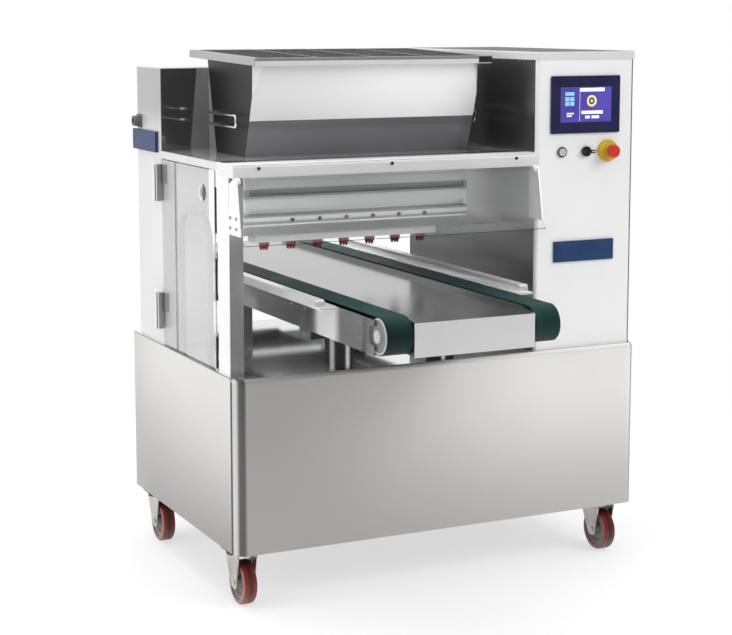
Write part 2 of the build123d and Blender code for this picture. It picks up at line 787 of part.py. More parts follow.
# Lid: frame and safety grid, tilted with the rim, with hinge ears at the rear
tilt_sin = sin(radians(lid_tilt))
tilt_cos = cos(radians(lid_tilt))
lid_plane = Plane(origin=(line_x, rim_front, rim_z + running_gap / tilt_cos), x_dir=(1, 0, 0),
                  z_dir=(0, -tilt_sin, tilt_cos))
lid_rear = lid_depth - lid_front_overhang
lid_mid = lid_depth / 2 - lid_front_overhang
lid_axis = lid_plane.from_local_coords((0, lid_rear + lid_axis_stand, lid_axis_rise))
bracket_places = (line_x - bracket_spread / 2, line_x + bracket_spread / 2)
with BuildPart() as hopper_lid:
    with BuildSketch(lid_plane):
        with Locations((0, lid_mid)):
            Rectangle(lid_width, lid_depth)
            Rectangle(lid_width - 2 * lid_bar, lid_depth - 2 * lid_bar, mode=Mode.SUBTRACT)
    extrude(amount=lid_height)
    with BuildSketch(lid_plane.offset(lid_height - grid_height)):
        with Locations((0, lid_mid)):
            grid_pitch = (lid_depth - 2 * lid_bar) / (grid_bars + 1)
            with GridLocations(0, grid_pitch, 1, grid_bars):
                Rectangle(lid_width - lid_bar, grid_bar)
            tie_pitch = (lid_width - 2 * lid_bar) / (grid_ties + 1)
            with GridLocations(tie_pitch, 0, grid_ties, 1):
                Rectangle(grid_bar, lid_depth - lid_bar)
    extrude(amount=grid_height)
    for ear_x in bracket_places:
        with BuildSketch(Plane.YZ.offset(ear_x - lid_ear_width / 2)):
            with Locations((lid_axis.Y, lid_axis.Z)):
                Circle(lid_ear_radius)
            with Locations((lid_axis.Y - lid_axis_stand / 2 - sheet / 2, lid_axis.Z)):
                Rectangle(lid_axis_stand + sheet, lid_ear_radius)
            with Locations((lid_axis.Y, lid_axis.Z)):
                Circle(lid_pin / 2 + running_gap, mode=Mode.SUBTRACT)
        extrude(amount=lid_ear_width)
save(hopper_lid, "hopper_lid")

# Lid hinge brackets on the rear housing, each with two cheeks and a pin
with BuildPart() as lid_brackets:
    for ear_x in bracket_places:
        foot_y = (lid_axis.Y - bracket_foot[1] / 2, lid_axis.Y + bracket_foot[1] / 2)
        foot_z = (tower_top, tower_top + bracket_foot[2])
        block((ear_x - bracket_foot[0] / 2, ear_x + bracket_foot[0] / 2), foot_y, foot_z)
        cheek_reach = lid_ear_width / 2 + running_gap
        for side in (-1, 1):
            with BuildSketch(Plane.YZ.offset(ear_x + side * cheek_reach)):
                with Locations((lid_axis.Y, lid_axis.Z)):
                    Circle(bracket_radius)
                with Locations((lid_axis.Y, foot_z[1] - sheet / 2)):
                    Rectangle(bracket_foot[1], sheet)
                make_hull()
            extrude(amount=side * bracket_gauge)
        side_disc(lid_axis.Y, lid_axis.Z, lid_pin, ear_x - cheek_reach, 2 * cheek_reach)
save(lid_brackets, "lid_brackets")

# Depositing head: stepped body with the roller chamber, inlet and one outlet for each nozzle
head_front = head_y - head_depth / 2
head_rear = head_y + head_depth / 2
head_bottom = ledge_under - head_height
head_right = head_left + head_length
feed_z = ledge_top - feed_drop
throat_top = ledge_under - upper_band
bar_top = throat_top - throat_slope
bar_bottom = bar_top - mid_bar
clamp_top = bar_bottom - groove_height
clamp_bottom = clamp_top - clamp_height
feed_places = ((head_y - feed_spacing / 2, feed_z), (head_y + feed_spacing / 2, feed_z))
nozzle_places = [line_x + (index - (nozzle_count - 1) / 2) * nozzle_pitch for index in range(nozzle_count)]
head_outline = (
    (head_front, ledge_under),
    (head_front, throat_top),
    (head_front + throat_depth, bar_top),
    (head_front + clamp_step, bar_top),
    (head_front + clamp_step, bar_bottom),
    (head_front + throat_depth, bar_bottom),
    (head_front + throat_depth, clamp_top),
    (head_front, clamp_top),
    (head_front, clamp_bottom),
    (head_y - foot_depth / 2, head_bottom),
    (head_y + foot_depth / 2, head_bottom),
    (head_rear, clamp_bottom),
    (head_rear, ledge_under),
)
body_left = head_left + end_plate_gauge
body_length = head_length - 2 * end_plate_gauge
with BuildPart() as head_block:
    side_profile(head_outline, body_left, body_length)
    with BuildSketch(Plane.YZ.offset(body_left)):
        with Locations(*feed_places):
            Circle(feed_diameter / 2 + feed_clearance)
        with Locations((head_y, (feed_z + ledge_under) / 2)):
            Rectangle(inlet_width, ledge_under - feed_z)
        with Locations((head_y, feed_z)):
            Rectangle(feed_spacing, feed_diameter / 2)
    extrude(amount=body_length, mode=Mode.SUBTRACT)
    with BuildSketch(Plane.XY.offset(head_bottom)):
        with Locations(*[(x, head_y) for x in nozzle_places]):
            Circle(nozzle_hole / 2)
    extrude(amount=feed_z - head_bottom, mode=Mode.SUBTRACT)
save(head_block, "head_block")

# Head end plates with the bearings of the feed rollers
with BuildPart() as head_end_plates:
    for plate_x in (head_left, head_right - end_plate_gauge):
        side_profile(((head_front, ledge_under), (head_front, clamp_bottom),
                      (head_y - foot_depth / 2, head_bottom), (head_y + foot_depth / 2, head_bottom),
                      (head_rear, clamp_bottom), (head_rear, ledge_under)), plate_x, end_plate_gauge)
        for feed_y, height in feed_places:
            side_disc(feed_y, height, feed_shaft + 2 * running_gap, plate_x, end_plate_gauge, Mode.SUBTRACT)
save(head_end_plates, "head_end_plates")

# Fluted feed rollers, each on its own shaft
for roller_name, (feed_y, height) in zip(("feed_roller_front", "feed_roller_rear"), feed_places):
    with BuildPart() as feed_roller:
        with BuildSketch(Plane.YZ.offset(body_left + feed_clearance)):
            with Locations((feed_y, height)):
                Circle(feed_diameter / 2)
                with PolarLocations(feed_diameter / 2, feed_flutes):
                    Circle(flute_diameter / 2, mode=Mode.SUBTRACT)
        extrude(amount=body_length - 2 * feed_clearance)
        side_disc(feed_y, height, feed_shaft, head_left, head_length)
    save(feed_roller, roller_name)

# Nozzle bar under the head
nozzle_bar_bottom = head_bottom - nozzle_bar_height
with BuildPart() as nozzle_bar:
    bar_length = (nozzle_count - 1) * nozzle_pitch + 2 * nozzle_bar_margin
    with BuildSketch(Plane.XY.offset(nozzle_bar_bottom)):
        with Locations((line_x, head_y)):
            Rectangle(bar_length, nozzle_bar_depth)
        with Locations(*[(x, head_y) for x in nozzle_places]):
            Circle(nozzle_hole / 2, mode=Mode.SUBTRACT)
    extrude(amount=nozzle_bar_height)
save(nozzle_bar, "nozzle_bar")

# One star nozzle: thin cup that tapers to a ring of teeth
with BuildPart() as star_nozzle:
    with BuildSketch(Plane.XZ):
        with BuildLine():
            Polyline((nozzle_diameter / 2, 0), (nozzle_diameter / 2, -nozzle_cup),
                     (nozzle_tip / 2, -nozzle_height), (nozzle_tip / 2 - nozzle_wall, -nozzle_height),
                     (nozzle_diameter / 2 - nozzle_wall, -nozzle_cup), (nozzle_diameter / 2 - nozzle_wall, 0),
                     close=True)
        make_face()
    revolve(axis=Axis.Z)
    for index in range(nozzle_teeth // 2):
        turn = radians(360 / nozzle_teeth * index)
        notch_plane = Plane(origin=(0, 0, -nozzle_height), x_dir=(cos(turn), sin(turn), 0),
                            z_dir=(sin(turn), -cos(turn), 0))
        with BuildSketch(notch_plane):
            with BuildLine():
                Polyline((-tooth_width / 2, 0), (tooth_width / 2, 0), (0, tooth_depth), close=True)
            make_face()
        extrude(amount=nozzle_diameter, both=True, mode=Mode.SUBTRACT)

with BuildPart() as nozzles:
    with Locations(*[(x, head_y, nozzle_bar_bottom) for x in nozzle_places]):
        add(star_nozzle.part)
save(nozzles, "nozzles")

# Screws in the rail and bolts in the clamp bar of the head
with BuildPart() as frame_screws:
    with BuildSketch(Plane.XZ.offset(-rail_front)):
        screw_z = rail_top - rail_screw_drop
        roof_mid = span(*roof_x)[0]
        with Locations(*[(roof_mid + step * rail_screw_spread, screw_z) for step in (-1, 0, 1)]):
            Circle(screw_diameter / 2)
    extrude(amount=screw_head)
    with BuildSketch(Plane.XZ.offset(-head_front)):
        bolt_z = (clamp_top + clamp_bottom) / 2
        between = [x + nozzle_pitch / 2 for x in nozzle_places[:-1]]
        with Locations(*[(x, bolt_z) for x in between]):
            Circle(clamp_bolt_diameter / 2)
    extrude(amount=clamp_bolt_head)
save(frame_screws, "frame_screws")

# Front guard: clear sheet with a turned-out lip, notched at the top for the hinge lugs
guard_x = (side_face, guard_right)
sheet_x = (guard_x[0] + guard_gauge, guard_x[1] - guard_gauge)
sheet_top = (guard_axis_y - lug_radius, guard_axis_z)
sheet_bend = (sheet_top[0] - guard_lean, guard_axis_z - guard_height)
sheet_lip = (sheet_bend[0] - guard_lip, sheet_bend[1] - guard_lip)
with BuildPart() as guard_sheet:
    outer_line = (sheet_top, sheet_bend, sheet_lip)
    inner_line = tuple((y + guard_gauge, z) for y, z in reversed(outer_line))
    side_profile(outer_line + inner_line, sheet_x[0], sheet_x[1] - sheet_x[0])
    lug_room = lug_gauge + guard_gauge
    for notch_x in ((sheet_x[0], sheet_x[0] + lug_room), (sheet_x[1] - lug_room, sheet_x[1])):
        block(notch_x, (sheet_lip[0], rail_front), (guard_axis_z - 2 * lug_radius, rail_under), Mode.SUBTRACT)
save(guard_sheet, "guard_sheet")

# Front guard: cheek plates that carry the sheet and turn on the rail's pins
with BuildPart() as guard_cheeks:
    for cheek_x in (guard_x[0], guard_x[1] - guard_gauge):
        with BuildSketch(Plane.YZ.offset(cheek_x)):
            with Locations((guard_axis_y, guard_axis_z)):
                Circle(guard_knuckle)
            with BuildLine():
                Polyline((guard_axis_y + cheek_rear, guard_axis_z - guard_knuckle),
                         (guard_axis_y + cheek_rear, sheet_bend[1]), sheet_bend, close=True)
            make_face()
            make_hull()
            with Locations((guard_axis_y, guard_axis_z)):
                Circle(guard_pin / 2 + running_gap, mode=Mode.SUBTRACT)
        extrude(amount=guard_gauge)
save(guard_cheeks, "guard_cheeks")

with BuildPart() as guard_screws:
    screw_places = [(guard_axis_y + y, guard_axis_z + z) for y, z in cheek_screws]
    for cheek_outer, outward in ((guard_x[0], -1), (guard_x[1], 1)):
        with BuildSketch(Plane.YZ.offset(cheek_outer)):
            with Locations(*screw_places):
                Circle(screw_diameter / 2)
        extrude(amount=outward * screw_head)
save(guard_screws, "guard_screws")

# Conveyor belts: two endless loops
belt_places = (line_x - belt_spread / 2, line_x + belt_spread / 2)
with BuildPart() as belts:
    for belt_x in belt_places:
        with BuildSketch(Plane.YZ.offset(belt_x - belt_width / 2)):
            with Locations((0, roller_z)):
                SlotCenterToCenter(2 * roller_y, belt_diameter)
                SlotCenterToCenter(2 * roller_y, belt_diameter - 2 * belt_gauge, mode=Mode.SUBTRACT)
        extrude(amount=belt_width)
save(belts, "belts")

# End rollers: a shaft with one drum for each belt and a dished, bossed outer face
drum_width = belt_width + 2 * roller_margin
drum_diameter = belt_diameter - 2 * belt_gauge - 2 * running_gap
for roller_name, axis_y in (("front_roller", -roller_y), ("rear_roller", roller_y)):
    with BuildPart() as end_roller:
        for belt_x in belt_places:
            side_disc(axis_y, roller_z, drum_diameter, belt_x - drum_width / 2, drum_width)
        side_disc(axis_y, roller_z, roller_shaft, belt_places[0], belt_spread)
        for belt_x, outward in ((belt_places[0], -1), (belt_places[1], 1)):
            drum_end = belt_x + outward * drum_width / 2
            side_disc(axis_y, roller_z, drum_diameter - 2 * roller_rim, drum_end, -outward * roller_dish,
                      Mode.SUBTRACT)
            side_disc(axis_y, roller_z, roller_boss, drum_end - outward * roller_dish,
                      outward * (roller_dish + roller_boss_proud))
    save(end_roller, roller_name)

# Conveyor pan: folded tray between the belts, whose sides carry the roller shafts
pan_top = belt_top - pan_drop
pan_x = (line_x - pan_width / 2, line_x + pan_width / 2)
beam_bottom = belt_top - belt_diameter - beam_under
pan_y = nose_y - pan_nose
with BuildPart() as conveyor_pan:
    block(pan_x, (-pan_y, pan_y), (pan_top - sheet, pan_top))
    block(pan_x, (-pan_y, -pan_y + sheet), (belt_top - pan_foot, pan_top))
    block(pan_x, (pan_y - sheet, pan_y), (belt_top - pan_foot, pan_top))
    for wall_x in (pan_x[0], pan_x[1] - pan_side):
        block((wall_x, wall_x + pan_side), (-pan_y, pan_y), (beam_bottom, pan_top))
    for axis_y in (-roller_y, roller_y):
        side_disc(axis_y, roller_z, roller_shaft + 2 * running_gap, pan_x[0], pan_width, Mode.SUBTRACT)
save(conveyor_pan, "conveyor_pan")

# Conveyor beams: side plates notched round the rollers, on two cross members
belt_outer = belt_spread / 2 + belt_width / 2
beam_inner = belt_outer + beam_side_gap
beam_outer = beam_inner + beam_gauge
cross_rows = (base_front + cross_inset, base_rear - cross_inset)
beam_end = roller_y - beam_lip
with BuildPart() as conveyor_beams:
    for beam_x in (line_x - beam_inner - beam_gauge, line_x + beam_inner):
        block((beam_x, beam_x + beam_gauge), (-beam_end, beam_end), (beam_bottom, belt_top - beam_drop))
        with BuildSketch(Plane.YZ.offset(beam_x)):
            with Locations((-beam_end, roller_z), (beam_end, roller_z)):
                RectangleRounded(2 * notch_depth, notch_height, notch_round)
        extrude(amount=beam_gauge, mode=Mode.SUBTRACT)
    for cross_y in cross_rows:
        block((line_x - beam_outer, line_x + beam_outer),
              (cross_y - cross_depth / 2, cross_y + cross_depth / 2),
              (beam_bottom - cross_height, beam_bottom))
save(conveyor_beams, "conveyor_beams")

# Tray guides: folded rails on brackets outside the beams
guide_top = belt_top + guide_rise
guide_bottom = guide_top - guide_height
with BuildPart() as tray_guides:
    guide_y = (guide_setback - nose_y, tower_front - guide_tower_gap)
    inner = line_x + guide_inner
    block((inner, inner + guide_gauge), guide_y, (guide_bottom, guide_top))
    block((inner, inner + guide_width), guide_y, (guide_top - guide_gauge, guide_top))
    block((inner + guide_width - guide_gauge, inner + guide_width), guide_y, (guide_bottom, guide_top))
    bracket_mid = span(*guide_y)[0]
    for bracket_y in (bracket_mid - guide_bracket_spread / 2, bracket_mid + guide_bracket_spread / 2):
        block((line_x + beam_outer, inner + guide_gauge),
              (bracket_y - guide_bracket / 2, bracket_y + guide_bracket / 2),
              (guide_bottom, guide_bottom + guide_gauge))
    mirror(about=Plane.YZ.offset(line_x))
save(tray_guides, "tray_guides")

# Conveyor posts on the deck
with BuildPart() as conveyor_posts:
    with BuildSketch(Plane.XY.offset(deck_top)):
        with Locations(*[(line_x, row) for row in cross_rows]):
            with GridLocations(leg_spread, 0, 2, 1):
                Rectangle(leg_width, leg_depth)
    extrude(amount=beam_bottom - cross_height - deck_top)
save(conveyor_posts, "conveyor_posts")

# Castors: top plates under the chassis
castor_columns = {"left": base_left + castor_inset_left, "right": base_right - castor_inset_right}
castor_rows = {"front": base_front + castor_inset_depth, "rear": base_rear - castor_inset_depth}
castor_places = {f"{row}_{column}": (x, y) for row, y in castor_rows.items()
                 for column, x in castor_columns.items()}
plate_bottom = castor_height - castor_plate[2]
with BuildPart() as castor_plates:
    with BuildSketch(Plane.XY.offset(plate_bottom)):
        with Locations(*castor_places.values()):
            RectangleRounded(castor_plate[0], castor_plate[1], castor_plate_round)
            Circle(kingpin_diameter / 2 + running_gap, mode=Mode.SUBTRACT)
    extrude(amount=castor_plate[2])
save(castor_plates, "castor_plates")

# One castor fork: crown, kingpin, two leaning arms and the axle
axle_z = wheel_diameter / 2
crown_top = plate_bottom - running_gap
crown_bottom = crown_top - crown_height
arm_inner = hub_boss_length / 2 + running_gap
arm_outer = arm_inner + fork_gauge
with BuildPart() as castor_fork:
    with BuildSketch(Plane.XY.offset(crown_bottom)):
        Circle(crown_diameter / 2)
    extrude(amount=crown_height)
    with BuildSketch(Plane.XY.offset(crown_top)):
        Circle(kingpin_diameter / 2)
    extrude(amount=castor_plate[2])
    for side in (-1, 1):
        with BuildSketch(Plane.YZ.offset(side * arm_inner)):
            with Locations((-castor_trail, axle_z)):
                Circle(fork_end_radius)
            with Locations((0, crown_bottom + crown_height / 2)):
                Rectangle(fork_width, crown_height)
            make_hull()
        extrude(amount=side * fork_gauge)
        side_disc(-castor_trail, axle_z, axle_head_diameter, side * arm_outer, side * axle_head_height)
    side_disc(-castor_trail, axle_z, axle_diameter, -arm_outer, 2 * arm_outer)

# One wheel hub: bored boss, dished web and rim
with BuildPart() as castor_hub:
    with BuildSketch(Plane.XY):
        with BuildLine():
            rim_half = tread_width / 2 - hub_dish
            rim_inner = hub_diameter / 2 - hub_rim
            bore = axle_diameter / 2 + running_gap
            right_side = ((hub_boss_length / 2, bore), (hub_boss_length / 2, hub_boss_diameter / 2),
                          (hub_web / 2, hub_boss_diameter / 2 + hub_dish), (hub_web / 2, rim_inner - hub_dish),
                          (rim_half, rim_inner), (rim_half, hub_diameter / 2))
            left_side = tuple((-x, r) for x, r in reversed(right_side))
            Polyline(*right_side, *left_side, close=True)
        make_face()
    revolve(axis=Axis.X)

# One tyre with rounded shoulders
with BuildPart() as castor_tyre:
    with BuildSketch(Plane.XY) as tyre_section:
        tyre_mid, tyre_depth = span(hub_diameter / 2 + fit_gap, wheel_diameter / 2)
        with Locations((0, tyre_mid)):
            Rectangle(tread_width, tyre_depth)
        fillet(tyre_section.vertices().group_by(Axis.Y)[-1], tyre_round)
    revolve(axis=Axis.X)

for place, (castor_x, castor_y) in castor_places.items():
    with BuildPart() as placed_fork:
        with Locations((castor_x, castor_y, 0)):
            add(castor_fork.part)
    save(placed_fork, f"castor_fork_{place}")
    wheel_centre = (castor_x, castor_y - castor_trail, axle_z)
    with BuildPart() as placed_hub:
        with Locations(wheel_centre):
            add(castor_hub.part)
    save(placed_hub, f"castor_hub_{place}")
    with BuildPart() as placed_tyre:
        with Locations(wheel_centre):
            add(castor_tyre.part)
    save(placed_tyre, f"castor_tyre_{place}")
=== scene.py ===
"""Looks of a dough depositor with a tray conveyor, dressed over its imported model."""

import logging
import math
from collections.abc import Iterable, Sequence
from dataclasses import dataclass, field
from enum import Enum

import bmesh
import bpy
from mathutils import Color, Matrix, Vector


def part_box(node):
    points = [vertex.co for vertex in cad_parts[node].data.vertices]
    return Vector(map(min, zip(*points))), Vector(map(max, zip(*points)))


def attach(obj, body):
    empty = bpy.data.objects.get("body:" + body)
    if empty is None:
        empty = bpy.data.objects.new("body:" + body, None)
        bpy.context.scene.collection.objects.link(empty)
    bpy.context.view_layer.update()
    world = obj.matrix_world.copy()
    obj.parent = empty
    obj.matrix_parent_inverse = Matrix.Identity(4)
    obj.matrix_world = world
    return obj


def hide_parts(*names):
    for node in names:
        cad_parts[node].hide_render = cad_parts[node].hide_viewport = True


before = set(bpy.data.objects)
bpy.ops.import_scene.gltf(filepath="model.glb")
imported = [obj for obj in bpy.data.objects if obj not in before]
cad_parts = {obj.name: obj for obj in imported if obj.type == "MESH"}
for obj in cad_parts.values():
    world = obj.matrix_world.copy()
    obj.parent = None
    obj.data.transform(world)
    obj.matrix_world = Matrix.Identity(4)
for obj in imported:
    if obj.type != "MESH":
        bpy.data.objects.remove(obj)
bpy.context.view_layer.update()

log = logging.getLogger("depositor")

Colour = tuple[float, float, float]
Span = tuple[float, float]
Place = tuple[float, float, float]
Socket = bpy.types.NodeSocket
Mixed = Socket | Colour | float

FULL_TURN = 2.0 * math.pi
SHARP_ANGLE = math.radians(32.0)
MERGE_GAP = 1e-6
ROUND_PROFILE = 0.5
MM = 0.001
FAR = 9.0
HAIRLINE = 0.3 * MM
BOTH_WAYS = (1.0, -1.0)
ROUND_STEPS = 6
WHOLE = (0.0, 1.0)
NOISE_CUT = (0.3, 0.7)
SCREW_OUTLINE = ((1.0, 0.0), (0.96, 0.45), (0.72, 0.88), (0.48, 1.0), (0.44, 0.96),
                 (0.4, 0.35), (0.0, 0.3))


class Grain(Enum):
    """How a steel sheet is brushed: noise lines per metre along X, Y and Z."""

    UPRIGHT = (1100.0, 1100.0, 1.6)
    LENGTHWISE = (1100.0, 1.6, 1100.0)
    CROSSWISE = (1.6, 1100.0, 1100.0)
    EVEN = (160.0, 160.0, 160.0)


class Ease(Enum):
    """How a value goes over from one level to another, as Blender names it."""

    STEADY = "LINEAR"
    GENTLE = "SMOOTHSTEP"


class Facing(Enum):
    """The sides of the machine."""

    LEFT = (-1.0, 0.0, 0.0)
    RIGHT = (1.0, 0.0, 0.0)
    FRONT = (0.0, -1.0, 0.0)
    BACK = (0.0, 1.0, 0.0)
    UP = (0.0, 0.0, 1.0)
    DOWN = (0.0, 0.0, -1.0)


class Corner(Enum):
    """The four castor places."""

    FRONT_LEFT = "front_left"
    FRONT_RIGHT = "front_right"
    REAR_LEFT = "rear_left"
    REAR_RIGHT = "rear_right"


def paint(code: str) -> Colour:
    """Turns a display colour into the linear one that shaders use.

    Args:
        code: Six hexadecimal digits, red, green and blue.

    Returns:
        The linear red, green and blue.
    """
    parts = [int(code[i:i + 2], 16) / 255.0 for i in (0, 2, 4)]
    red, green, blue = Color(parts).from_srgb_to_scene_linear()
    return red, green, blue


class Wiring:
    """Adds and joins the nodes of one shader tree."""

    def __init__(self, tree: bpy.types.NodeTree) -> None:
        """Keeps the tree that the nodes go into."""
        self.tree = tree

    def add(self, kind: str, sockets: dict[str, object] | None = None,
            **settings: object) -> bpy.types.Node:
        """Adds one node.

        Args:
            kind: Blender's name for the node's type.
            sockets: Values of its inputs, by their names.
            **settings: Properties of the node, set by name.

        Returns:
            The new node.
        """
        node = self.tree.nodes.new(kind)
        for key, value in settings.items():
            setattr(node, key, value)
        for key, value in (sockets or {}).items():
            node.inputs[key].default_value = value
        return node

    def join(self, start: Socket, end: Socket) -> None:
        """Joins an output to an input."""
        self.tree.links.new(start, end)

    def feed(self, value: object, end: Socket) -> None:
        """Gives an input what comes out of a socket, or a fixed value.

        Args:
            value: The socket, or the fixed value.
            end: The input.
        """
        if isinstance(value, Socket):
            self.join(value, end)
        else:
            end.default_value = value

    def place(self) -> Socket:
        """Returns the place on the piece, in its own frame."""
        return self.add("ShaderNodeTexCoord").outputs["Object"]

    def along(self, place: Socket, direction: Socket | Vector) -> Socket:
        """Measures a place along a direction.

        Args:
            place: The place.
            direction: The direction, a socket or fixed.

        Returns:
            The socket with the distance.
        """
        node = self.add("ShaderNodeVectorMath", operation="DOT_PRODUCT")
        self.join(place, node.inputs[0])
        self.feed(direction, node.inputs[1])
        return node.outputs["Value"]

    def ramp(self, value: Socket, cut: Sequence[Mixed], out: Sequence[Mixed] = WHOLE,
             ease: Ease = Ease.STEADY) -> Socket:
        """Takes a value from one level to another.

        Args:
            value: The socket with the value.
            cut: Where the change starts and ends.
            out: The level before and after it.
            ease: How it goes over.

        Returns:
            The socket with the new value.
        """
        node = self.add("ShaderNodeMapRange", interpolation_type=ease.value)
        names = ("From Min", "From Max", "To Min", "To Max")
        for name, level in zip(names, (*cut, *out)):
            self.feed(level, node.inputs[name])
        self.join(value, node.inputs["Value"])
        return node.outputs["Result"]

    def mix(self, share: Socket, first: Mixed, second: Mixed) -> Socket:
        """Mixes two colours or two numbers by a mask.

        Args:
            share: The mask, 0 for the first and 1 for the second.
            first: A socket, a colour or a number.
            second: A socket, a colour or a number.

        Returns:
            The socket with the mixture.
        """
        flat = isinstance(second, float) or getattr(second, "type", "") == "VALUE"
        kind = "VALUE" if flat else "RGBA"
        node = self.add("ShaderNodeMix", data_type="FLOAT" if flat else "RGBA")
        self.join(share, node.inputs["Factor"])
        ends = [i for i in node.inputs if i.type == kind and i.name in ("A", "B")]
        for end, value in zip(ends, (first, second)):
            self.feed((*value, 1.0) if isinstance(value, tuple) else value, end)
        return next(o for o in node.outputs if o.type == kind)

    def math(self, way: str, first: Socket, second: Socket | float) -> Socket:
        """Works on two values.

        Args:
            way: The operation, as Blender names it.
            first: The first value.
            second: The second value, a socket or a number.

        Returns:
            The socket with the result.
        """
        node = self.add("ShaderNodeMath", operation=way)
        self.join(first, node.inputs[0])
        self.feed(second, node.inputs[1])
        return node.outputs["Value"]

    def blend(self, share: Socket, first: Socket, second: Socket) -> Socket:
        """Mixes two shaders by a mask.

        Args:
            share: The mask, 0 for the first and 1 for the second.
            first: The first shader.
            second: The second shader.

        Returns:
            The socket with the mixed shader.
        """
        node = self.add("ShaderNodeMixShader")
        for value, end in zip((share, first, second), node.inputs):
            self.join(value, end)
        return node.outputs["Shader"]


class SurfaceEffects:
    """The node groups that several finishes share, each made once."""

    line_noise = {"Scale": 1.0, "Detail": 4.0, "Roughness": 0.65}
    cloud_noise = {"Detail": 3.0, "Distortion": 0.4}
    dust_noise = {"Scale": 55.0}
    dust_cover = (0.75, 0.0)

    def __init__(self) -> None:
        """Makes the groups."""
        self.lines = self._brushed_lines()
        self.cloud = self._cloudy_sheen()
        self.pits = self._moulded_skin()
        self.dust = self._floor_dust()
        self.band = self._soft_band()
        self.change = self._slow_change()

    @staticmethod
    def _start(name: str, output: str, numbers: Sequence[str] = (),
               vector: str = "") -> tuple[Wiring, bpy.types.NodeOutputs, Socket]:
        """Opens a group with named sockets.

        Args:
            name: The group's name.
            output: Name of the value that comes out.
            numbers: Names of the numbers that go in.
            vector: Name of the vector that goes in, if there is one.

        Returns:
            The wiring, what goes in, and the socket for what comes out.
        """
        tree = bpy.data.node_groups.new(name, "ShaderNodeTree")
        if vector:
            tree.interface.new_socket(vector, in_out="INPUT", socket_type="NodeSocketVector")
        for label in numbers:
            tree.interface.new_socket(label, in_out="INPUT", socket_type="NodeSocketFloat")
        tree.interface.new_socket(output, in_out="OUTPUT", socket_type="NodeSocketFloat")
        wiring = Wiring(tree)
        given = wiring.add("NodeGroupInput").outputs
        return wiring, given, wiring.add("NodeGroupOutput").inputs[output]

    def _brushed_lines(self) -> bpy.types.NodeTree:
        """Long fine lines, as an abrasive belt leaves them.

        Returns:
            The node group.
        """
        wiring, given, end = self._start("brushed_lines", "Lines", vector="Stretch")
        stretch = wiring.add("ShaderNodeVectorMath", operation="MULTIPLY")
        noise = wiring.add("ShaderNodeTexNoise", self.line_noise)
        wiring.join(wiring.place(), stretch.inputs[0])
        wiring.join(given["Stretch"], stretch.inputs[1])
        wiring.join(stretch.outputs["Vector"], noise.inputs["Vector"])
        wiring.join(noise.outputs["Fac"], end)
        return wiring.tree

    def _cloudy_sheen(self) -> bpy.types.NodeTree:
        """Slow light and dark patches, as handling and rolling leave them.

        Returns:
            The node group.
        """
        wiring, given, end = self._start("cloudy_sheen", "Cloud", ("Size",))
        noise = wiring.add("ShaderNodeTexNoise", self.cloud_noise)
        wiring.join(wiring.place(), noise.inputs["Vector"])
        wiring.join(given["Size"], noise.inputs["Scale"])
        wiring.join(noise.outputs["Fac"], end)
        return wiring.tree

    def _moulded_skin(self) -> bpy.types.NodeTree:
        """The fine pebbled skin of a moulded or cast piece.

        Returns:
            The node group.
        """
        wiring, given, end = self._start("moulded_skin", "Skin", ("Size",))
        cells = wiring.add("ShaderNodeTexVoronoi", feature="SMOOTH_F1")
        wiring.join(wiring.place(), cells.inputs["Vector"])
        wiring.join(given["Size"], cells.inputs["Scale"])
        wiring.join(cells.outputs["Distance"], end)
        return wiring.tree

    def _floor_dust(self) -> bpy.types.NodeTree:
        """A mask of dust that thins out with height above the floor.

        Returns:
            The node group.
        """
        wiring, given, end = self._start("floor_dust", "Dust", ("Height",))
        place = wiring.place()
        noise = wiring.add("ShaderNodeTexNoise", self.dust_noise)
        wiring.join(place, noise.inputs["Vector"])
        height = wiring.along(place, Vector(Facing.UP.value))
        share = wiring.math("DIVIDE", height, given["Height"])
        fall = wiring.ramp(share, WHOLE, self.dust_cover)
        wiring.join(wiring.math("MULTIPLY", fall, noise.outputs["Fac"]), end)
        return wiring.tree

    def _soft_band(self) -> bpy.types.NodeTree:
        """A mask of a stretch along one direction, with soft ends, on one side or on both.

        Returns:
            The node group.
        """
        wiring, given, end = self._start(
            "soft_band", "Mask", ("About", "Both", "Low", "High", "Soft"), "Along")
        along = wiring.along(wiring.place(), given["Along"])
        off = wiring.math("SUBTRACT", along, given["About"])
        away = wiring.mix(given["Both"], off, wiring.math("ABSOLUTE", off, 0.0))
        steps = []
        for name in ("Low", "High"):
            cut = [wiring.math(way, given[name], given["Soft"]) for way in ("SUBTRACT", "ADD")]
            steps.append(wiring.ramp(away, cut, ease=Ease.GENTLE))
        wiring.join(wiring.math("SUBTRACT", *steps), end)
        return wiring.tree

    def _slow_change(self) -> bpy.types.NodeTree:
        """A mask that grows slowly along a direction, where painted shade darkens a piece.

        Returns:
            The node group.
        """
        wiring, given, end = self._start(
            "slow_change", "Share", ("From", "To", "Weight"), "Towards")
        along = wiring.along(wiring.place(), given["Towards"])
        grown = wiring.ramp(along, (given["From"], given["To"]), (0.0, given["Weight"]),
                            Ease.GENTLE)
        wiring.join(grown, end)
        return wiring.tree


effects = SurfaceEffects()


@dataclass(frozen=True)
class Zone:
    """One look of a surface: its colours, its roughness and its share of bare metal."""

    dark: str
    light: str
    roughness: Span
    metallic: float = 1.0

    def on(self, *bands: "Band") -> "Patch":
        """Returns a patch that has this look wherever all the bands meet."""
        return Patch(self, bands)


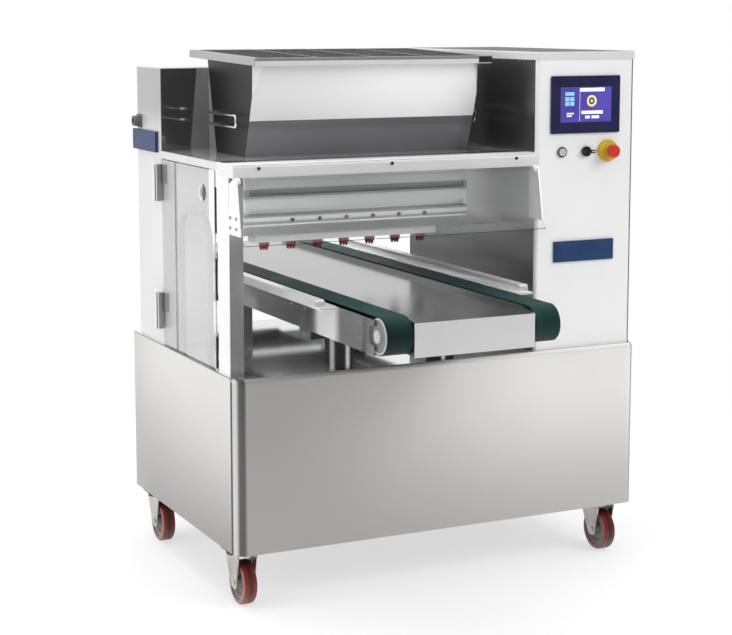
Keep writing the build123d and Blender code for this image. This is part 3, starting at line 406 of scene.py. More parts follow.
@dataclass(frozen=True)
class Band:
    """A stretch along one direction of a piece, with soft ends, in metres."""

    facing: Facing
    low: float = -FAR
    high: float = FAR
    soft: float = HAIRLINE
    about: float | None = None

    @classmethod
    def layer(cls, node: str, facing: Facing, depth: float = FAR, start: float = 0.0,
              soft: float = HAIRLINE) -> "Band":
        """A layer of a node, measured inwards from one of its sides.

        Args:
            node: The node's name.
            facing: The side.
            depth: Where the layer ends, below that side.
            start: Where it starts, 0 for the side itself.
            soft: How far its ends fade.

        Returns:
            The band.
        """
        side = max(corner.dot(Vector(facing.value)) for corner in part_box(node))
        return cls(facing, side - depth, side - start if start else FAR, soft)

    @classmethod
    def ends(cls, node: str, facing: Facing, depth: float, start: float = 0.0,
             soft: float = HAIRLINE) -> "Band":
        """The same layer on a side of a node and on the opposite one.

        Args:
            node: The node's name.
            facing: One of the two sides.
            depth: Where the layers end, below their sides.
            start: Where they start, 0 for the sides themselves.
            soft: How far their ends fade.

        Returns:
            The band.
        """
        near, far = sorted(corner.dot(Vector(facing.value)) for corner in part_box(node))
        half = (far - near) / 2.0
        return cls(facing, half - depth, half - start if start else FAR, soft,
                   (near + far) / 2.0)


@dataclass(frozen=True)
class Patch:
    """A place where a piece looks different."""

    zone: Zone
    bands: tuple[Band, ...]


@dataclass(frozen=True)
class PaintedShade:
    """Painted shade: a slow change of tone across a piece, darker towards one side."""

    tint: str
    towards: Facing
    reach: Span
    weight: float = 1.0


class Coat:
    """A material in the making, with its shader and the shared effects."""

    def __init__(self, name: str) -> None:
        """Makes an empty material with a Principled shader.

        Args:
            name: The material's name.
        """
        self.material = bpy.data.materials.new(name)
        self.material.use_nodes = True
        self.wiring = Wiring(self.material.node_tree)
        self.shader = self.material.node_tree.nodes["Principled BSDF"]

    def plain(self, **numbers: float) -> None:
        """Sets numbers that are the same all over, by the socket's name with _ for a space."""
        for key, value in numbers.items():
            self.shader.inputs[key.replace("_", " ")].default_value = value

    def surface(self, shader: Socket) -> None:
        """Puts another shader on the surface."""
        output = self.material.node_tree.nodes["Material Output"]
        self.wiring.join(shader, output.inputs["Surface"])

    def effect(self, group: bpy.types.NodeTree, **values: object) -> Socket:
        """Places a shared effect.

        Args:
            group: The effect's node group.
            **values: Values of its inputs.

        Returns:
            The group's output.
        """
        return self.wiring.add("ShaderNodeGroup", values, node_tree=group).outputs[0]

    def mask(self, patch: Patch) -> Socket:
        """Makes the mask of a patch, where all its bands meet.

        Args:
            patch: The patch.

        Returns:
            The socket with the mask.
        """
        found = None
        for band in patch.bands:
            part = self.effect(effects.band, Along=band.facing.value, About=band.about or 0.0,
                               Both=0.0 if band.about is None else 1.0, Low=band.low,
                               High=band.high, Soft=band.soft)
            found = part if found is None else self.wiring.math("MULTIPLY", found, part)
        return found

    def lay(self, share: Socket, zone: Zone, patches: Sequence[Patch],
            painted_shades: Sequence[PaintedShade] = ()) -> tuple[Socket, Socket]:
        """Lays the main zone, then the painted shade, then the patches.

        Args:
            share: The fine pattern that moves each zone between its two colours.
            zone: The main zone.
            patches: Where the piece looks different.
            painted_shades: Painted shade across the main zone, darker towards one side.

        Returns:
            The sockets with the colour and the roughness.
        """
        wiring = self.wiring
        tint = wiring.mix(share, paint(zone.dark), paint(zone.light))
        # Painted shade: each one darkens the colour slowly towards one side.
        for painted_shade in painted_shades:
            painted_shade_mask = self.effect(effects.change, Towards=painted_shade.towards.value,
                                From=painted_shade.reach[0], To=painted_shade.reach[1], Weight=painted_shade.weight)
            tint = wiring.mix(painted_shade_mask, tint, paint(painted_shade.tint))
        rough = wiring.ramp(share, WHOLE, zone.roughness)
        metal = zone.metallic
        self.plain(Metallic=metal)
        for patch in patches:
            mask = self.mask(patch)
            other = patch.zone
            tint = wiring.mix(mask, tint,
                              wiring.mix(share, paint(other.dark), paint(other.light)))
            rough = wiring.mix(mask, rough, wiring.ramp(share, WHOLE, other.roughness))
            metal = wiring.mix(mask, metal, other.metallic)
        if isinstance(metal, Socket):
            wiring.join(metal, self.shader.inputs["Metallic"])
        return tint, rough

    def colour(self, tint: Socket, rough: Socket) -> None:
        """Joins colour and roughness to the shader."""
        self.wiring.join(tint, self.shader.inputs["Base Color"])
        self.wiring.join(rough, self.shader.inputs["Roughness"])

    def relief(self, height: Socket, strength: float, depth: float) -> None:
        """Turns a height into the surface's relief.

        Args:
            height: The socket with the height.
            strength: How strongly it shows.
            depth: The height's depth in metres.
        """
        bump = self.wiring.add("ShaderNodeBump", {"Strength": strength, "Distance": depth})
        self.wiring.join(height, bump.inputs["Height"])
        self.wiring.join(bump.outputs["Normal"], self.shader.inputs["Normal"])


@dataclass(frozen=True)
class SteelFinish:
    """Stainless steel sheet or bar with brushed lines and slow patches."""

    name: str
    zone: Zone
    grain: Grain = Grain.UPRIGHT
    patches: tuple[Patch, ...] = ()
    # Painted shade, darker towards one side of the piece.
    painted_shades: tuple[PaintedShade, ...] = ()
    strength: float = 0.01
    cloud: float = 2.2
    specular: float = 0.5
    line_share: float = 0.25
    line_depth: float = 0.4 * MM
    contrast: Span = (0.35, 0.65)

    def make(self) -> bpy.types.Material:
        """Makes the material.

        Returns:
            The finished material.
        """
        coat = Coat(self.name)
        coat.plain(Specular_IOR_Level=self.specular)
        lines = coat.effect(effects.lines, Stretch=self.grain.value)
        cloud = coat.effect(effects.cloud, Size=self.cloud)
        wiring = coat.wiring
        mixed = wiring.math("ADD", wiring.math("MULTIPLY", lines, self.line_share),
                            wiring.math("MULTIPLY", cloud, 1.0 - self.line_share))
        share = wiring.ramp(mixed, self.contrast)
        coat.colour(*coat.lay(share, self.zone, self.patches, self.painted_shades))
        coat.relief(lines, self.strength, self.line_depth)
        return coat.material


@dataclass(frozen=True)
class MouldedFinish:
    """Plastic, rubber or cast metal with a fine skin, and dust near the floor."""

    name: str
    zone: Zone
    skin: float = 900.0
    strength: float = 0.06
    dust: float = 0.0
    patches: tuple[Patch, ...] = ()
    specular: float = 0.5
    cloud: float = 14.0
    skin_depth: float = 0.3 * MM
    dust_tint: str = "a89f96"
    dust_dullness: float = 0.3

    def make(self) -> bpy.types.Material:
        """Makes the material.

        Returns:
            The finished material.
        """
        coat = Coat(self.name)
        coat.plain(Specular_IOR_Level=self.specular)
        skin = coat.effect(effects.pits, Size=self.skin)
        cloud = coat.effect(effects.cloud, Size=self.cloud)
        wiring = coat.wiring
        tint, rough = coat.lay(wiring.ramp(cloud, NOISE_CUT), self.zone, self.patches)
        if self.dust:
            layer = coat.effect(effects.dust, Height=self.dust)
            tint = wiring.mix(layer, tint, paint(self.dust_tint))
            rough = wiring.math("ADD", rough,
                                wiring.math("MULTIPLY", layer, self.dust_dullness))
        coat.colour(tint, rough)
        coat.relief(skin, self.strength, self.skin_depth)
        return coat.material


@dataclass(frozen=True)
class ClearFinish:
    """Clear plastic sheet with faint wiping marks, which lamps shine through."""

    name: str
    tint: Colour
    roughness: Span
    passing: float = 1.0
    ior: float = 1.49
    cloud: float = 7.0

    def make(self) -> bpy.types.Material:
        """Makes the material.

        Returns:
            The finished material.
        """
        coat = Coat(self.name)
        coat.plain(IOR=self.ior, Transmission_Weight=self.passing)
        coat.shader.inputs["Base Color"].default_value = (*self.tint, 1.0)
        wiring = coat.wiring
        cloud = coat.effect(effects.cloud, Size=self.cloud)
        wiring.join(wiring.ramp(cloud, NOISE_CUT, self.roughness),
                    coat.shader.inputs["Roughness"])
        path = wiring.add("ShaderNodeLightPath")
        open_air = wiring.add("ShaderNodeBsdfTransparent")
        coat.surface(wiring.blend(path.outputs["Is Shadow Ray"], coat.shader.outputs["BSDF"],
                                  open_air.outputs["BSDF"]))
        return coat.material


@dataclass(frozen=True)
class LitFinish:
    """A part of the screen that glows behind its glass."""

    name: str
    tint: str
    glow: float
    cloud: float = 9.0
    depth: float = 0.72
    roughness: float = 0.12

    def make(self) -> bpy.types.Material:
        """Makes the material.

        Returns:
            The finished material.
        """
        coat = Coat(self.name)
        coat.plain(Roughness=self.roughness, Emission_Strength=self.glow)
        cloud = coat.effect(effects.cloud, Size=self.cloud)
        full = paint(self.tint)
        deep = tuple(self.depth * part for part in full)
        shade = coat.wiring.mix(coat.wiring.ramp(cloud, NOISE_CUT), deep, full)
        coat.wiring.join(shade, coat.shader.inputs["Base Color"])
        coat.wiring.join(shade, coat.shader.inputs["Emission Color"])
        return coat.material


class Finishes:
    """Every finish on the machine, made once."""

    def __init__(self) -> None:
        """Makes the materials."""
        self.face_depth = 1.5 * MM
        self.mirror_zone = Zone("e8e8e9", "f3f3f4", (0.035, 0.075), 0.97)
        self.satin_zone = Zone("cfcfcf", "dadada", (0.3, 0.4), 0.3)
        self.shell_zone = Zone("bcbcbc", "c8c8c8", (0.3, 0.38), 0.5)
        # Painted shade for edges and folds.
        self.edge_shade_zone = Zone("868686", "929292", (0.4, 0.5), 0.3)
        # Painted shade for seams between panels.
        self.seam_shade_zone = Zone("3c3c3c", "464646", (0.4, 0.5), 0.3)
        self.black_zone = Zone("1c1c1e", "29292c", (0.3, 0.42), 0.0)
        self._cabinet()
        self._column()
        self._housing()
        self._door()
        self._hopper()
        self._head()
        self._conveyor()
        self._fittings()
        self._screen()
        self._castors()

    def _face(self, node: str, facing: Facing) -> Band:
        """Returns the outermost layer on one side of a node."""
        return Band.layer(node, facing, self.face_depth)

    def _shell(self, node: str) -> tuple[Patch, ...]:
        """Returns the satin rear and top of a housing."""
        return tuple(self.shell_zone.on(self._face(node, facing))
                     for facing in (Facing.BACK, Facing.UP))

    def _cabinet(self) -> None:
        """Makes the finishes of the base."""
        panel = "base_front_panel"
        # Painted reflection on the rounded left corner of the front panel: a dark band of painted shade, and
        # a light band of painted highlight at the very edge.
        bend_shade = Zone("565656", "626262", (0.24, 0.32), 0.5)
        bend_highlight = Zone("c2c2c2", "cccccc", (0.3, 0.4), 0.3)
        self.base_front = SteelFinish(
            "base_front_steel", Zone("f1f0ef", "f7f6f5", (0.46, 0.54), 0.45),
            patches=(bend_shade.on(Band.layer(panel, Facing.LEFT, 29.5 * MM, 9.5 * MM,
                                             soft=5.0 * MM)),
                     bend_highlight.on(Band.layer(panel, Facing.LEFT, 8.5 * MM, soft=3.0 * MM)),
                     # Painted shade: a dark line at the seam with the side panel.
                     self.seam_shade_zone.on(Band.layer(panel, Facing.LEFT, 0.8 * MM)),
                     # Painted shade: a darker grey band at the right end of the front panel.
                     self.edge_shade_zone.on(Band.layer(panel, Facing.RIGHT, 18.0 * MM))),
            # Painted shade: the front panel darkens towards its left end and towards the bottom.
            painted_shades=(PaintedShade("b3b1b0", Facing.LEFT, (-0.45, 0.62)),
                    PaintedShade("a9a6a5", Facing.DOWN, (-0.64, -0.13), 0.8))).make()
        self.base_side = SteelFinish(
            "base_side_steel", Zone("e2e1e0", "e9e8e7", (0.2, 0.27)),
            # Painted shade: a dark line along the top edge of the panels.
            patches=(self.edge_shade_zone.on(Band.layer("base_panels", Facing.UP, 2.2 * MM)),),
            # Painted shade: the panels darken towards the bottom and towards the rear.
            painted_shades=(PaintedShade("979392", Facing.DOWN, (-0.64, -0.12)),
                    PaintedShade("b8b6b5", Facing.BACK, (0.2, 0.44), 0.4))).make()
        self.frame = SteelFinish(
            "frame_steel", Zone("8f8f8f", "a8a8a8", (0.4, 0.5)), Grain.EVEN,
            strength=0.08).make()
        self.deck = SteelFinish(
            "deck_steel", Zone("f0f0f0", "f9f9f9", (0.05, 0.1), 0.82), Grain.LENGTHWISE,
            strength=0.004).make()

    def _column(self) -> None:
        """Makes the finishes of the control column."""
        shaded = Zone("5c5c5c", "686868", (0.4, 0.5), 0.3)
        # Painted shade: the column's left face is dark grey, standing in for its dark reflection.
        left_face_shade = Zone("6f6f70", "7e7e7f", (0.2, 0.28), 0.85)
        # Painted shade: the top of the cap is darker; it is also matt.
        cap_top_shade = Zone("565657", "626263", (0.7, 0.8), 0.0)
        inner = self._face("control_column", Facing.LEFT)
        # Painted light: a lighter satin band on the column's left face, beside the head.
        lit_beside_head = Band.layer("control_column", Facing.UP, 481.0 * MM, 286.0 * MM,
                                 soft=30.0 * MM)
        self.column_front = SteelFinish(
            "column_front_steel", Zone("e2e2e2", "e9e9e9", (0.46, 0.54), 0.2),
            patches=(shaded.on(Band.layer("column_front_panel", Facing.RIGHT, 8.5 * MM)),)
        ).make()
        self.column_side = SteelFinish(
            "column_side_steel", self.shell_zone,
            patches=(left_face_shade.on(inner), self.satin_zone.on(inner, lit_beside_head))).make()
        self.cap = SteelFinish(
            "cap_steel", Zone("cccccd", "d6d6d7", (0.46, 0.54), 0.25),
            patches=(cap_top_shade.on(Band.layer("column_cap", Facing.UP, 0.8 * MM)),),
            specular=0.1).make()

    def _housing(self) -> None:
        """Makes the finishes of tower, housing, ledge, rail, post and arch tube."""
        tower, rail = "drive_tower", "front_rail"
        outer = self._face(tower, Facing.LEFT)
        below_ledge = Band.layer("top_plate", Facing.UP, start=22.8 * MM)
        side = Zone("d4d4d4", "dedede", (0.34, 0.42), 0.3)
        # Painted shade: the top of the tower's left face is darker, fading out downwards.
        side_top_shade = Zone("a0a0a1", "acacad", (0.3, 0.4), 0.3)
        door_ground = Zone("ececec", "f4f4f4", (0.34, 0.42), 0.1)
        post_side = Zone("e6e6e6", "f0f0f0", (0.3, 0.38), 0.3)
        self.tower = SteelFinish(
            "tower_steel", Zone("a8a8a9", "b4b4b5", (0.05, 0.1), 0.92),
            patches=(side.on(outer),
                     # Painted shade: a dark line along the rear edge of the tower's left face.
                     self.edge_shade_zone.on(outer, Band.layer(tower, Facing.BACK, 4.0 * MM)),
                     side_top_shade.on(outer, Band.layer(tower, Facing.UP, 164.0 * MM,
                                                   soft=60.0 * MM)),
                     door_ground.on(self._face(tower, Facing.FRONT), below_ledge),
                     *self._shell(tower)),
            strength=0.004).make()
        self.mirror = SteelFinish("mirror_steel", self.mirror_zone, strength=0.004).make()
        self.housing = SteelFinish(
            "housing_steel", self.mirror_zone, patches=self._shell("rear_housing"),
            strength=0.004).make()
        self.ledge = SteelFinish(
            "ledge_steel", Zone("f0f0f1", "f8f8f9", (0.06, 0.11), 0.74),
            patches=(self.satin_zone.on(Band.layer("top_plate", Facing.LEFT, 0.5 * MM)),),
            strength=0.004).make()
        self.rail = SteelFinish(
            "rail_steel", Zone("dcdcdc", "e6e6e6", (0.3, 0.38), 0.3), Grain.CROSSWISE,
            patches=(self.mirror_zone.on(Band.layer(rail, Facing.BACK, 54.0 * MM),
                                         Band.layer(rail, Facing.UP, 1.0 * MM)),)).make()
        self.post_front = SteelFinish(
            "bright_steel", Zone("d2d2d2", "dedede", (0.14, 0.2), 0.8),
            patches=(post_side.on(self._face("front_post", Facing.LEFT)),)).make()
        self.arch = SteelFinish(
            "arch_steel", Zone("626264", "707072", (0.3, 0.38), 0.3)).make()

    def _door(self) -> None:
        """Makes the finishes of the door, its hinges and the clear sheets."""
        leaves = "hinge_leaves"
        barrel = Zone("9a9a9b", "adadae", (0.26, 0.34), 0.6)
        strip = Zone("dadada", "e6e6e6", (0.34, 0.44), 0.2)
        barrel_front = (
            strip.on(Band.layer(leaves, Facing.RIGHT, start=21.1 * MM)),
            self.black_zone.on(Band.layer(leaves, Facing.RIGHT, 26.4 * MM, 24.0 * MM)))
        self.stile = SteelFinish(
            "stile_steel", Zone("b4b4b4", "c0c0c0", (0.3, 0.4), 0.3),
            patches=(barrel.on(Band.layer("door_stile", Facing.RIGHT, start=4.5 * MM)),
                     *barrel_front)).make()
        self.hinge = SteelFinish(
            "hinge_cast", Zone("e2e2e2", "eeeeee", (0.34, 0.44), 0.2), Grain.EVEN,
            patches=(barrel.on(Band.layer(leaves, Facing.RIGHT, start=6.5 * MM)),
                     *barrel_front)).make()
        self.pull = MouldedFinish(
            "pull_ring", Zone("d8d8d7", "e6e6e5", (0.3, 0.42), 0.0),
            patches=(self.black_zone.on(Band.layer("door_pull", Facing.FRONT, 18.5 * MM,
                                                   soft=4.0 * MM)),)).make()
        self.clear = ClearFinish("clear_sheet", (0.988, 0.995, 0.993), (0.0, 0.03)).make()
        self.milky = ClearFinish("milky_sheet", (0.985, 0.988, 0.988), (0.0, 0.02),
                                 passing=0.8).make()

    def _hopper(self) -> None:
        """Makes the finishes of hopper and lid."""
        shell, lid = "hopper_shell", "hopper_lid"
        # Painted shade: both end walls of the hopper are near black, standing in for their dark reflections.
        end_wall_shade = Zone("212122", "29292a", (0.34, 0.44), 0.4)
        # Painted reflection: the lower front of the hopper is darker grey, standing in for the dark things it
        # mirrors.
        lower_front_reflection = Zone("88888a", "969698", (0.16, 0.24), 0.75)
        self.hopper = SteelFinish(
            "hopper_steel", Zone("f2f2f2", "f9f9f9", (0.3, 0.4), 0.1),
            patches=(lower_front_reflection.on(Band.layer(shell, Facing.DOWN, 105.0 * MM, soft=0.8 * MM),
                              Band.layer(shell, Facing.FRONT, 92.0 * MM)),
                     end_wall_shade.on(Band.ends(shell, Facing.RIGHT, 0.5 * MM))),
            # Painted shade: the hopper darkens towards its left end.
            painted_shades=(PaintedShade("c8c8c8", Facing.LEFT, (-0.1, 0.56), 0.6),)).make()
        front = Band.layer(lid, Facing.FRONT, 2.1 * MM)
        fold, fold_line = 13.2 * MM, 1.6 * MM
        # Painted shade: the lid's front is darker above the fold.
        lid_front_shade = Zone("8c8c8c", "9a9a9a", (0.36, 0.44), 0.4)
        front_lower = Zone("c4c4c4", "cccccc", (0.36, 0.44), 0.1)
        lid_end = Zone("9c9c9c", "b0b0b0", (0.3, 0.4), 0.5)
        self.lid = SteelFinish(
            "lid_steel", Zone("6e6e6e", "8a8a8a", (0.2, 0.3)), Grain.CROSSWISE,
            patches=(lid_front_shade.on(front),
                     front_lower.on(front, Band.layer(lid, Facing.DOWN, fold)),
                     # Painted shade: a dark line at the fold of the lid's front.
                     self.edge_shade_zone.on(front, Band.layer(lid, Facing.DOWN, fold + fold_line,
                                                         fold)),
                     lid_end.on(Band.ends(lid, Facing.RIGHT, self.face_depth)))).make()
        self.satin = SteelFinish(
            "satin_steel", Zone("d6d6d6", "e4e4e4", (0.1, 0.16)), Grain.LENGTHWISE,
            strength=0.006).make()

    def _head(self) -> None:
        """Makes the finishes of the depositing head."""
        block = "head_block"
        # Painted highlight and shade on the head's front: light stripes stand in for highlights on bevelled
        # edges, darker bands for shade in the recesses.
        head_highlight = Zone("f8f8f8", "fdfdfd", (0.4, 0.5), 0.0)
        recess_shade = Zone("b0b0b1", "bcbcbd", (0.3, 0.4), 0.2)
        front = Band.layer(block, Facing.FRONT, 30.0 * MM)
        steps = ((recess_shade, 116.0 * MM, 142.0 * MM), (head_highlight, 79.0 * MM, 110.0 * MM),
                 (recess_shade, 60.0 * MM, 70.0 * MM), (head_highlight, 51.0 * MM, 58.0 * MM),
                 (recess_shade, 40.0 * MM, 47.0 * MM), (head_highlight, 29.0 * MM, 38.0 * MM))
        self.machined = SteelFinish(
            "machined_steel", Zone("f2f2f2", "f9f9f9", (0.3, 0.38), 0.05), Grain.CROSSWISE,
            patches=tuple(
                zone.on(front, Band.layer(block, Facing.DOWN, top, bottom, soft=1.5 * MM))
                for zone, bottom, top in steps),
            # Painted shade: the head darkens towards its left end.
            painted_shades=(PaintedShade("d0d0d0", Facing.LEFT, (-0.1, 0.5), 0.4),), strength=0.02).make()
        self.nozzle = MouldedFinish(
            "nozzle_red", Zone("8a3420", "a8492f", (0.3, 0.42), 0.25), 700.0, 0.05).make()

    def _conveyor(self) -> None:
        """Makes the finishes of the tray conveyor."""
        beams, posts = "conveyor_beams", "conveyor_posts"
        apron = Zone("c8c8c8", "d0d0d0", (0.46, 0.54), 0.25)
        self.pan = SteelFinish(
            "pan_steel", Zone("838384", "8f8f90", (0.13, 0.19), 0.9), Grain.CROSSWISE,
            patches=(apron.on(Band.ends("conveyor_pan", Facing.BACK, self.face_depth)),)).make()
        glint = Zone("e0e0e0", "e8e8e8", (0.2, 0.28), 0.3)
        shade = Zone("7c7c7d", "888889", (0.2, 0.28), 0.6)
        self.beam = SteelFinish(
            "beam_steel", Zone("acacad", "b8b8b9", (0.1, 0.16)), Grain.LENGTHWISE,
            patches=(glint.on(Band.layer(beams, Facing.FRONT, 365.0 * MM, 225.0 * MM,
                                         soft=25.0 * MM)),
                     shade.on(Band.layer(beams, Facing.FRONT, 205.0 * MM, 75.0 * MM,
                                         soft=15.0 * MM))),
            strength=0.004).make()
        self.guide = SteelFinish(
            "guide_steel", Zone("dedede", "eaeaea", (0.2, 0.28), 0.5), Grain.LENGTHWISE).make()
        belt_nose = Zone("061a18", "0a2320", (0.6, 0.72), 0.0)
        self.belt = MouldedFinish(
            "belt_green", Zone("0b2a27", "123833", (0.55, 0.68), 0.0), 620.0, 0.2,
            patches=(belt_nose.on(Band.layer("belts", Facing.LEFT, 104.0 * MM),
                                  Band.layer("belts", Facing.FRONT, 12.0 * MM,
                                             soft=20.0 * MM)),),
            specular=0.25).make()
        disc = Zone("b2b2b1", "c0c0bf", (0.42, 0.5), 0.0)
        self.drum = SteelFinish(
            "drum_grey", Zone("2c2c2d", "38383a", (0.4, 0.5)), Grain.EVEN,
            patches=(disc.on(Band.ends("front_roller", Facing.RIGHT, 7.0 * MM)),)).make()
        # Painted reflection on the front posts: a dark tone with light streaks, standing in for the dark and
        # bright reflections of polished round tubes; the rear posts keep the light tone all over.
        streak = Zone("e6e6e6", "f0f0f0", (0.2, 0.28), 0.3)
        post_dark_reflection = Zone("343435", "404041", (0.2, 0.3), 0.6)
        self.post = SteelFinish(
            "post_steel", streak,
            patches=(post_dark_reflection.on(Band(Facing.FRONT, low=0.0)),
                     streak.on(Band.ends(posts, Facing.RIGHT, 41.0 * MM, 29.0 * MM,
                                         soft=4.0 * MM),
                               Band.layer(posts, Facing.FRONT, 2.0 * MM)),
                     streak.on(Band.ends(posts, Facing.RIGHT, 0.5 * MM),
                               Band.layer(posts, Facing.FRONT, 45.0 * MM, 15.0 * MM,
                                          soft=8.0 * MM)))).make()

    def _fittings(self) -> None:
        """Makes the finishes of screws, plates, buttons and socket."""
        self.screw = SteelFinish(
            "screw_steel", Zone("8b8b8c", "a9a9aa", (0.18, 0.3)), Grain.EVEN,
            strength=0.03).make()
        self.button_silver = SteelFinish(
            "button_silver", Zone("d6d6d6", "e6e6e6", (0.2, 0.3), 0.45), Grain.EVEN,
            strength=0.02).make()
        self.white_plastic = MouldedFinish(
            "white_plastic", Zone("e6e6e5", "f2f2f1", (0.3, 0.42), 0.0)).make()
        self.plate_blue = MouldedFinish(
            "plate_blue", Zone("163157", "1d3c68", (0.42, 0.52), 0.0), 1500.0, 0.02).make()
        self.knob = MouldedFinish("knob_black", self.black_zone, 1200.0, 0.05).make()
        self.collar = MouldedFinish(
            "collar_yellow", Zone("b2921c", "c4a62e", (0.3, 0.4), 0.0), 1200.0, 0.04).make()
        self.stop = MouldedFinish(
            "stop_red", Zone("a8241d", "bd3028", (0.26, 0.36), 0.0), 1200.0, 0.04).make()
        self.socket = MouldedFinish(
            "socket_dark", Zone("56534f", "6c6863", (0.4, 0.55), 0.0), 900.0, 0.08).make()

    def _screen(self) -> None:
        """Makes the finishes of the touch screen."""
        self.bezel = MouldedFinish(
            "bezel_navy", Zone("13173a", "191e47", (0.5, 0.6), 0.0), 1600.0, 0.03).make()
        self.screen = LitFinish("screen_glow", "473d8a", 0.75).make()
        self.screen_white = LitFinish("screen_white", "dcdcf4", 0.8).make()
        self.screen_cyan = LitFinish("screen_cyan", "7fb6dc", 0.8).make()
        self.screen_yellow = LitFinish("screen_yellow", "d9cf72", 0.75).make()

    def _castors(self) -> None:
        """Makes the finishes of the castors, with a tyre for each track."""
        plated = Zone("a9a6a0", "cdcac4", (0.26, 0.42))
        shaded = Zone("2c2a28", "3a3835", (0.5, 0.6), 0.2)
        crown = Band.layer("castor_plates", Facing.UP, 18.0 * MM, soft=4.0 * MM)
        self.zinc = SteelFinish(
            "zinc_plate", plated, Grain.EVEN, strength=0.08, cloud=18.0).make()
        self.crown = SteelFinish(
            "crown_steel", plated, Grain.EVEN, (shaded.on(crown),), strength=0.08,
            cloud=18.0).make()
        self.hub = MouldedFinish(
            "hub_grey", Zone("6f7276", "8b8e92", (0.4, 0.55), 0.0), 700.0, 0.08, 0.12).make()
        red = Zone("641509", "7e2012", (0.3, 0.42), 0.0)
        # A darker band round the middle of the tread.
        tread_dark_band = Zone("2e1710", "41231a", (0.5, 0.6), 0.0)
        rim = Zone("84594f", "966b61", (0.4, 0.5), 0.0)
        self.tyres = {}
        for track in ("left", "right"):
            tyre = f"castor_tyre_front_{track}"
            tread = Band.ends(tyre, Facing.RIGHT, FAR, 13.5 * MM, soft=3.0 * MM)
            flank = Band.ends(tyre, Facing.RIGHT, 1.4 * MM, soft=0.6 * MM)
            self.tyres[track] = MouldedFinish(
                f"tyre_red_{track}", red, 800.0, 0.08, 0.05,
                (tread_dark_band.on(tread), rim.on(flank))).make()


def new_form() -> bmesh.types.BMesh:
    """Starts an empty form."""
    return bmesh.new()


def close_form(form: bmesh.types.BMesh) -> None:
    """Merges doubles and turns every face outwards."""
    bmesh.ops.remove_doubles(form, verts=form.verts, dist=MERGE_GAP)
    bmesh.ops.recalc_face_normals(form, faces=form.faces)


def make_piece(name: str, form: bmesh.types.BMesh, finish: bpy.types.Material, body: str) -> bpy.types.Object:
    """Turns a form into a piece that rides on a body.

    Args:
        name: The piece's name.
        form: The form, used up here.
        finish: The piece's material.
        body: The body it moves with.

    Returns:
        The piece.
    """
    close_form(form)
    mesh = bpy.data.meshes.new(name)
    form.to_mesh(mesh)
    form.free()
    mesh.polygons.foreach_set("use_smooth", [True] * len(mesh.polygons))
    mesh.set_sharp_from_angle(angle=SHARP_ANGLE)
    mesh.materials.append(finish)
    piece = bpy.data.objects.new(name, mesh)
    bpy.context.scene.collection.objects.link(piece)
    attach(piece, body)
    log.info("piece %s rides on %s", name, body)
    return piece


def dress(finish: bpy.types.Material, *nodes: str) -> None:
    """Gives CAD nodes a finish.

    Args:
        finish: The material.
        *nodes: The nodes' names.
    """
    for name in nodes:
        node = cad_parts[name]
        if not node.material_slots:
            node.data.materials.append(finish)
        for place in node.material_slots:
            place.material = finish
        log.info("node %s dressed in %s", name, finish.name)


def add_block(form: bmesh.types.BMesh, low: Sequence[float], high: Sequence[float],
              round_off: float = 0.0, steps: int = 2) -> list[bmesh.types.BMVert]:
    """Adds a block with rounded edges.

    Args:
        form: The form that gets it.
        low: Its lowest corner.
        high: Its highest corner.
        round_off: The width of the rounding, 0 for none.
        steps: Segments of the rounding.

    Returns:
        The block's corners, before they are rounded.
    """
    low, high = Vector(low), Vector(high)
    made = bmesh.ops.create_cube(form, size=1.0)["verts"]
    bmesh.ops.scale(form, verts=made, vec=high - low)
    bmesh.ops.translate(form, verts=made, vec=(low + high) / 2.0)
    if round_off:
        edges = list({e for v in made for e in v.link_edges})
        bmesh.ops.bevel(form, geom=edges, offset=round_off, offset_type="OFFSET",
                        segments=steps, profile=ROUND_PROFILE, affect="EDGES", material=-1)
    return made


def add_bar(form: bmesh.types.BMesh, low: Sequence[float], high: Sequence[float],
            nose: float) -> None:
    """Adds a bar along Y whose upper ends are rounded.

    Args:
        form: The form that gets it.
        low: Its lowest corner.
        high: Its highest corner.
        nose: The rounding's radius.
    """
    made = add_block(form, low, high)
    top = max(v.co.z for v in made)
    ends = {e for v in made for e in v.link_edges
            if all(abs(p.co.z - top) < MERGE_GAP for p in e.verts)
            and abs(e.verts[0].co.y - e.verts[1].co.y) < MERGE_GAP}
    bmesh.ops.bevel(form, geom=list(ends), offset=nose, offset_type="OFFSET",
                    segments=ROUND_STEPS, profile=ROUND_PROFILE, affect="EDGES", material=-1)


def add_turned(form: bmesh.types.BMesh, profile: Iterable[Span], place: Sequence[float],
               facing: Facing, steps: int = 24) -> None:
    """Adds a form turned about an axis.

    Args:
        form: The form that gets it.
        profile: Radius and height of each point of the outline, along the axis.
        place: Where the axis starts.
        facing: Which way the axis points.
        steps: Segments of the full turn.
    """
    turn = Vector((0.0, 0.0, 1.0)).rotation_difference(Vector(facing.value)).to_matrix()
    points = [form.verts.new(Vector((radius, 0.0, height))) for radius, height in profile]
    edges = [form.edges.new(pair) for pair in zip(points, points[1:])]
    made = bmesh.ops.spin(form, geom=[*points, *edges], cent=(0.0, 0.0, 0.0),
                          axis=(0.0, 0.0, 1.0), dvec=(0.0, 0.0, 0.0), angle=FULL_TURN,
                          steps=steps, use_merge=True, use_duplicate=False)
    turned = {v for e in [*made["geom_last"], *points] if isinstance(e, bmesh.types.BMVert)
              for v in connected(e)}
    bmesh.ops.transform(form, matrix=Matrix.Translation(Vector(place)) @ turn.to_4x4(),
                        verts=list(turned))


def connected(start: bmesh.types.BMVert) -> set[bmesh.types.BMVert]:
    """Finds the points that edges join to one point.

    Args:
        start: The point.

    Returns:
        All of them, with the first one.
    """
    found, waiting = {start}, [start]
    while waiting:
        for edge in waiting.pop().link_edges:
            for point in edge.verts:
                if point not in found:
                    found.add(point)
                    waiting.append(point)
    return found


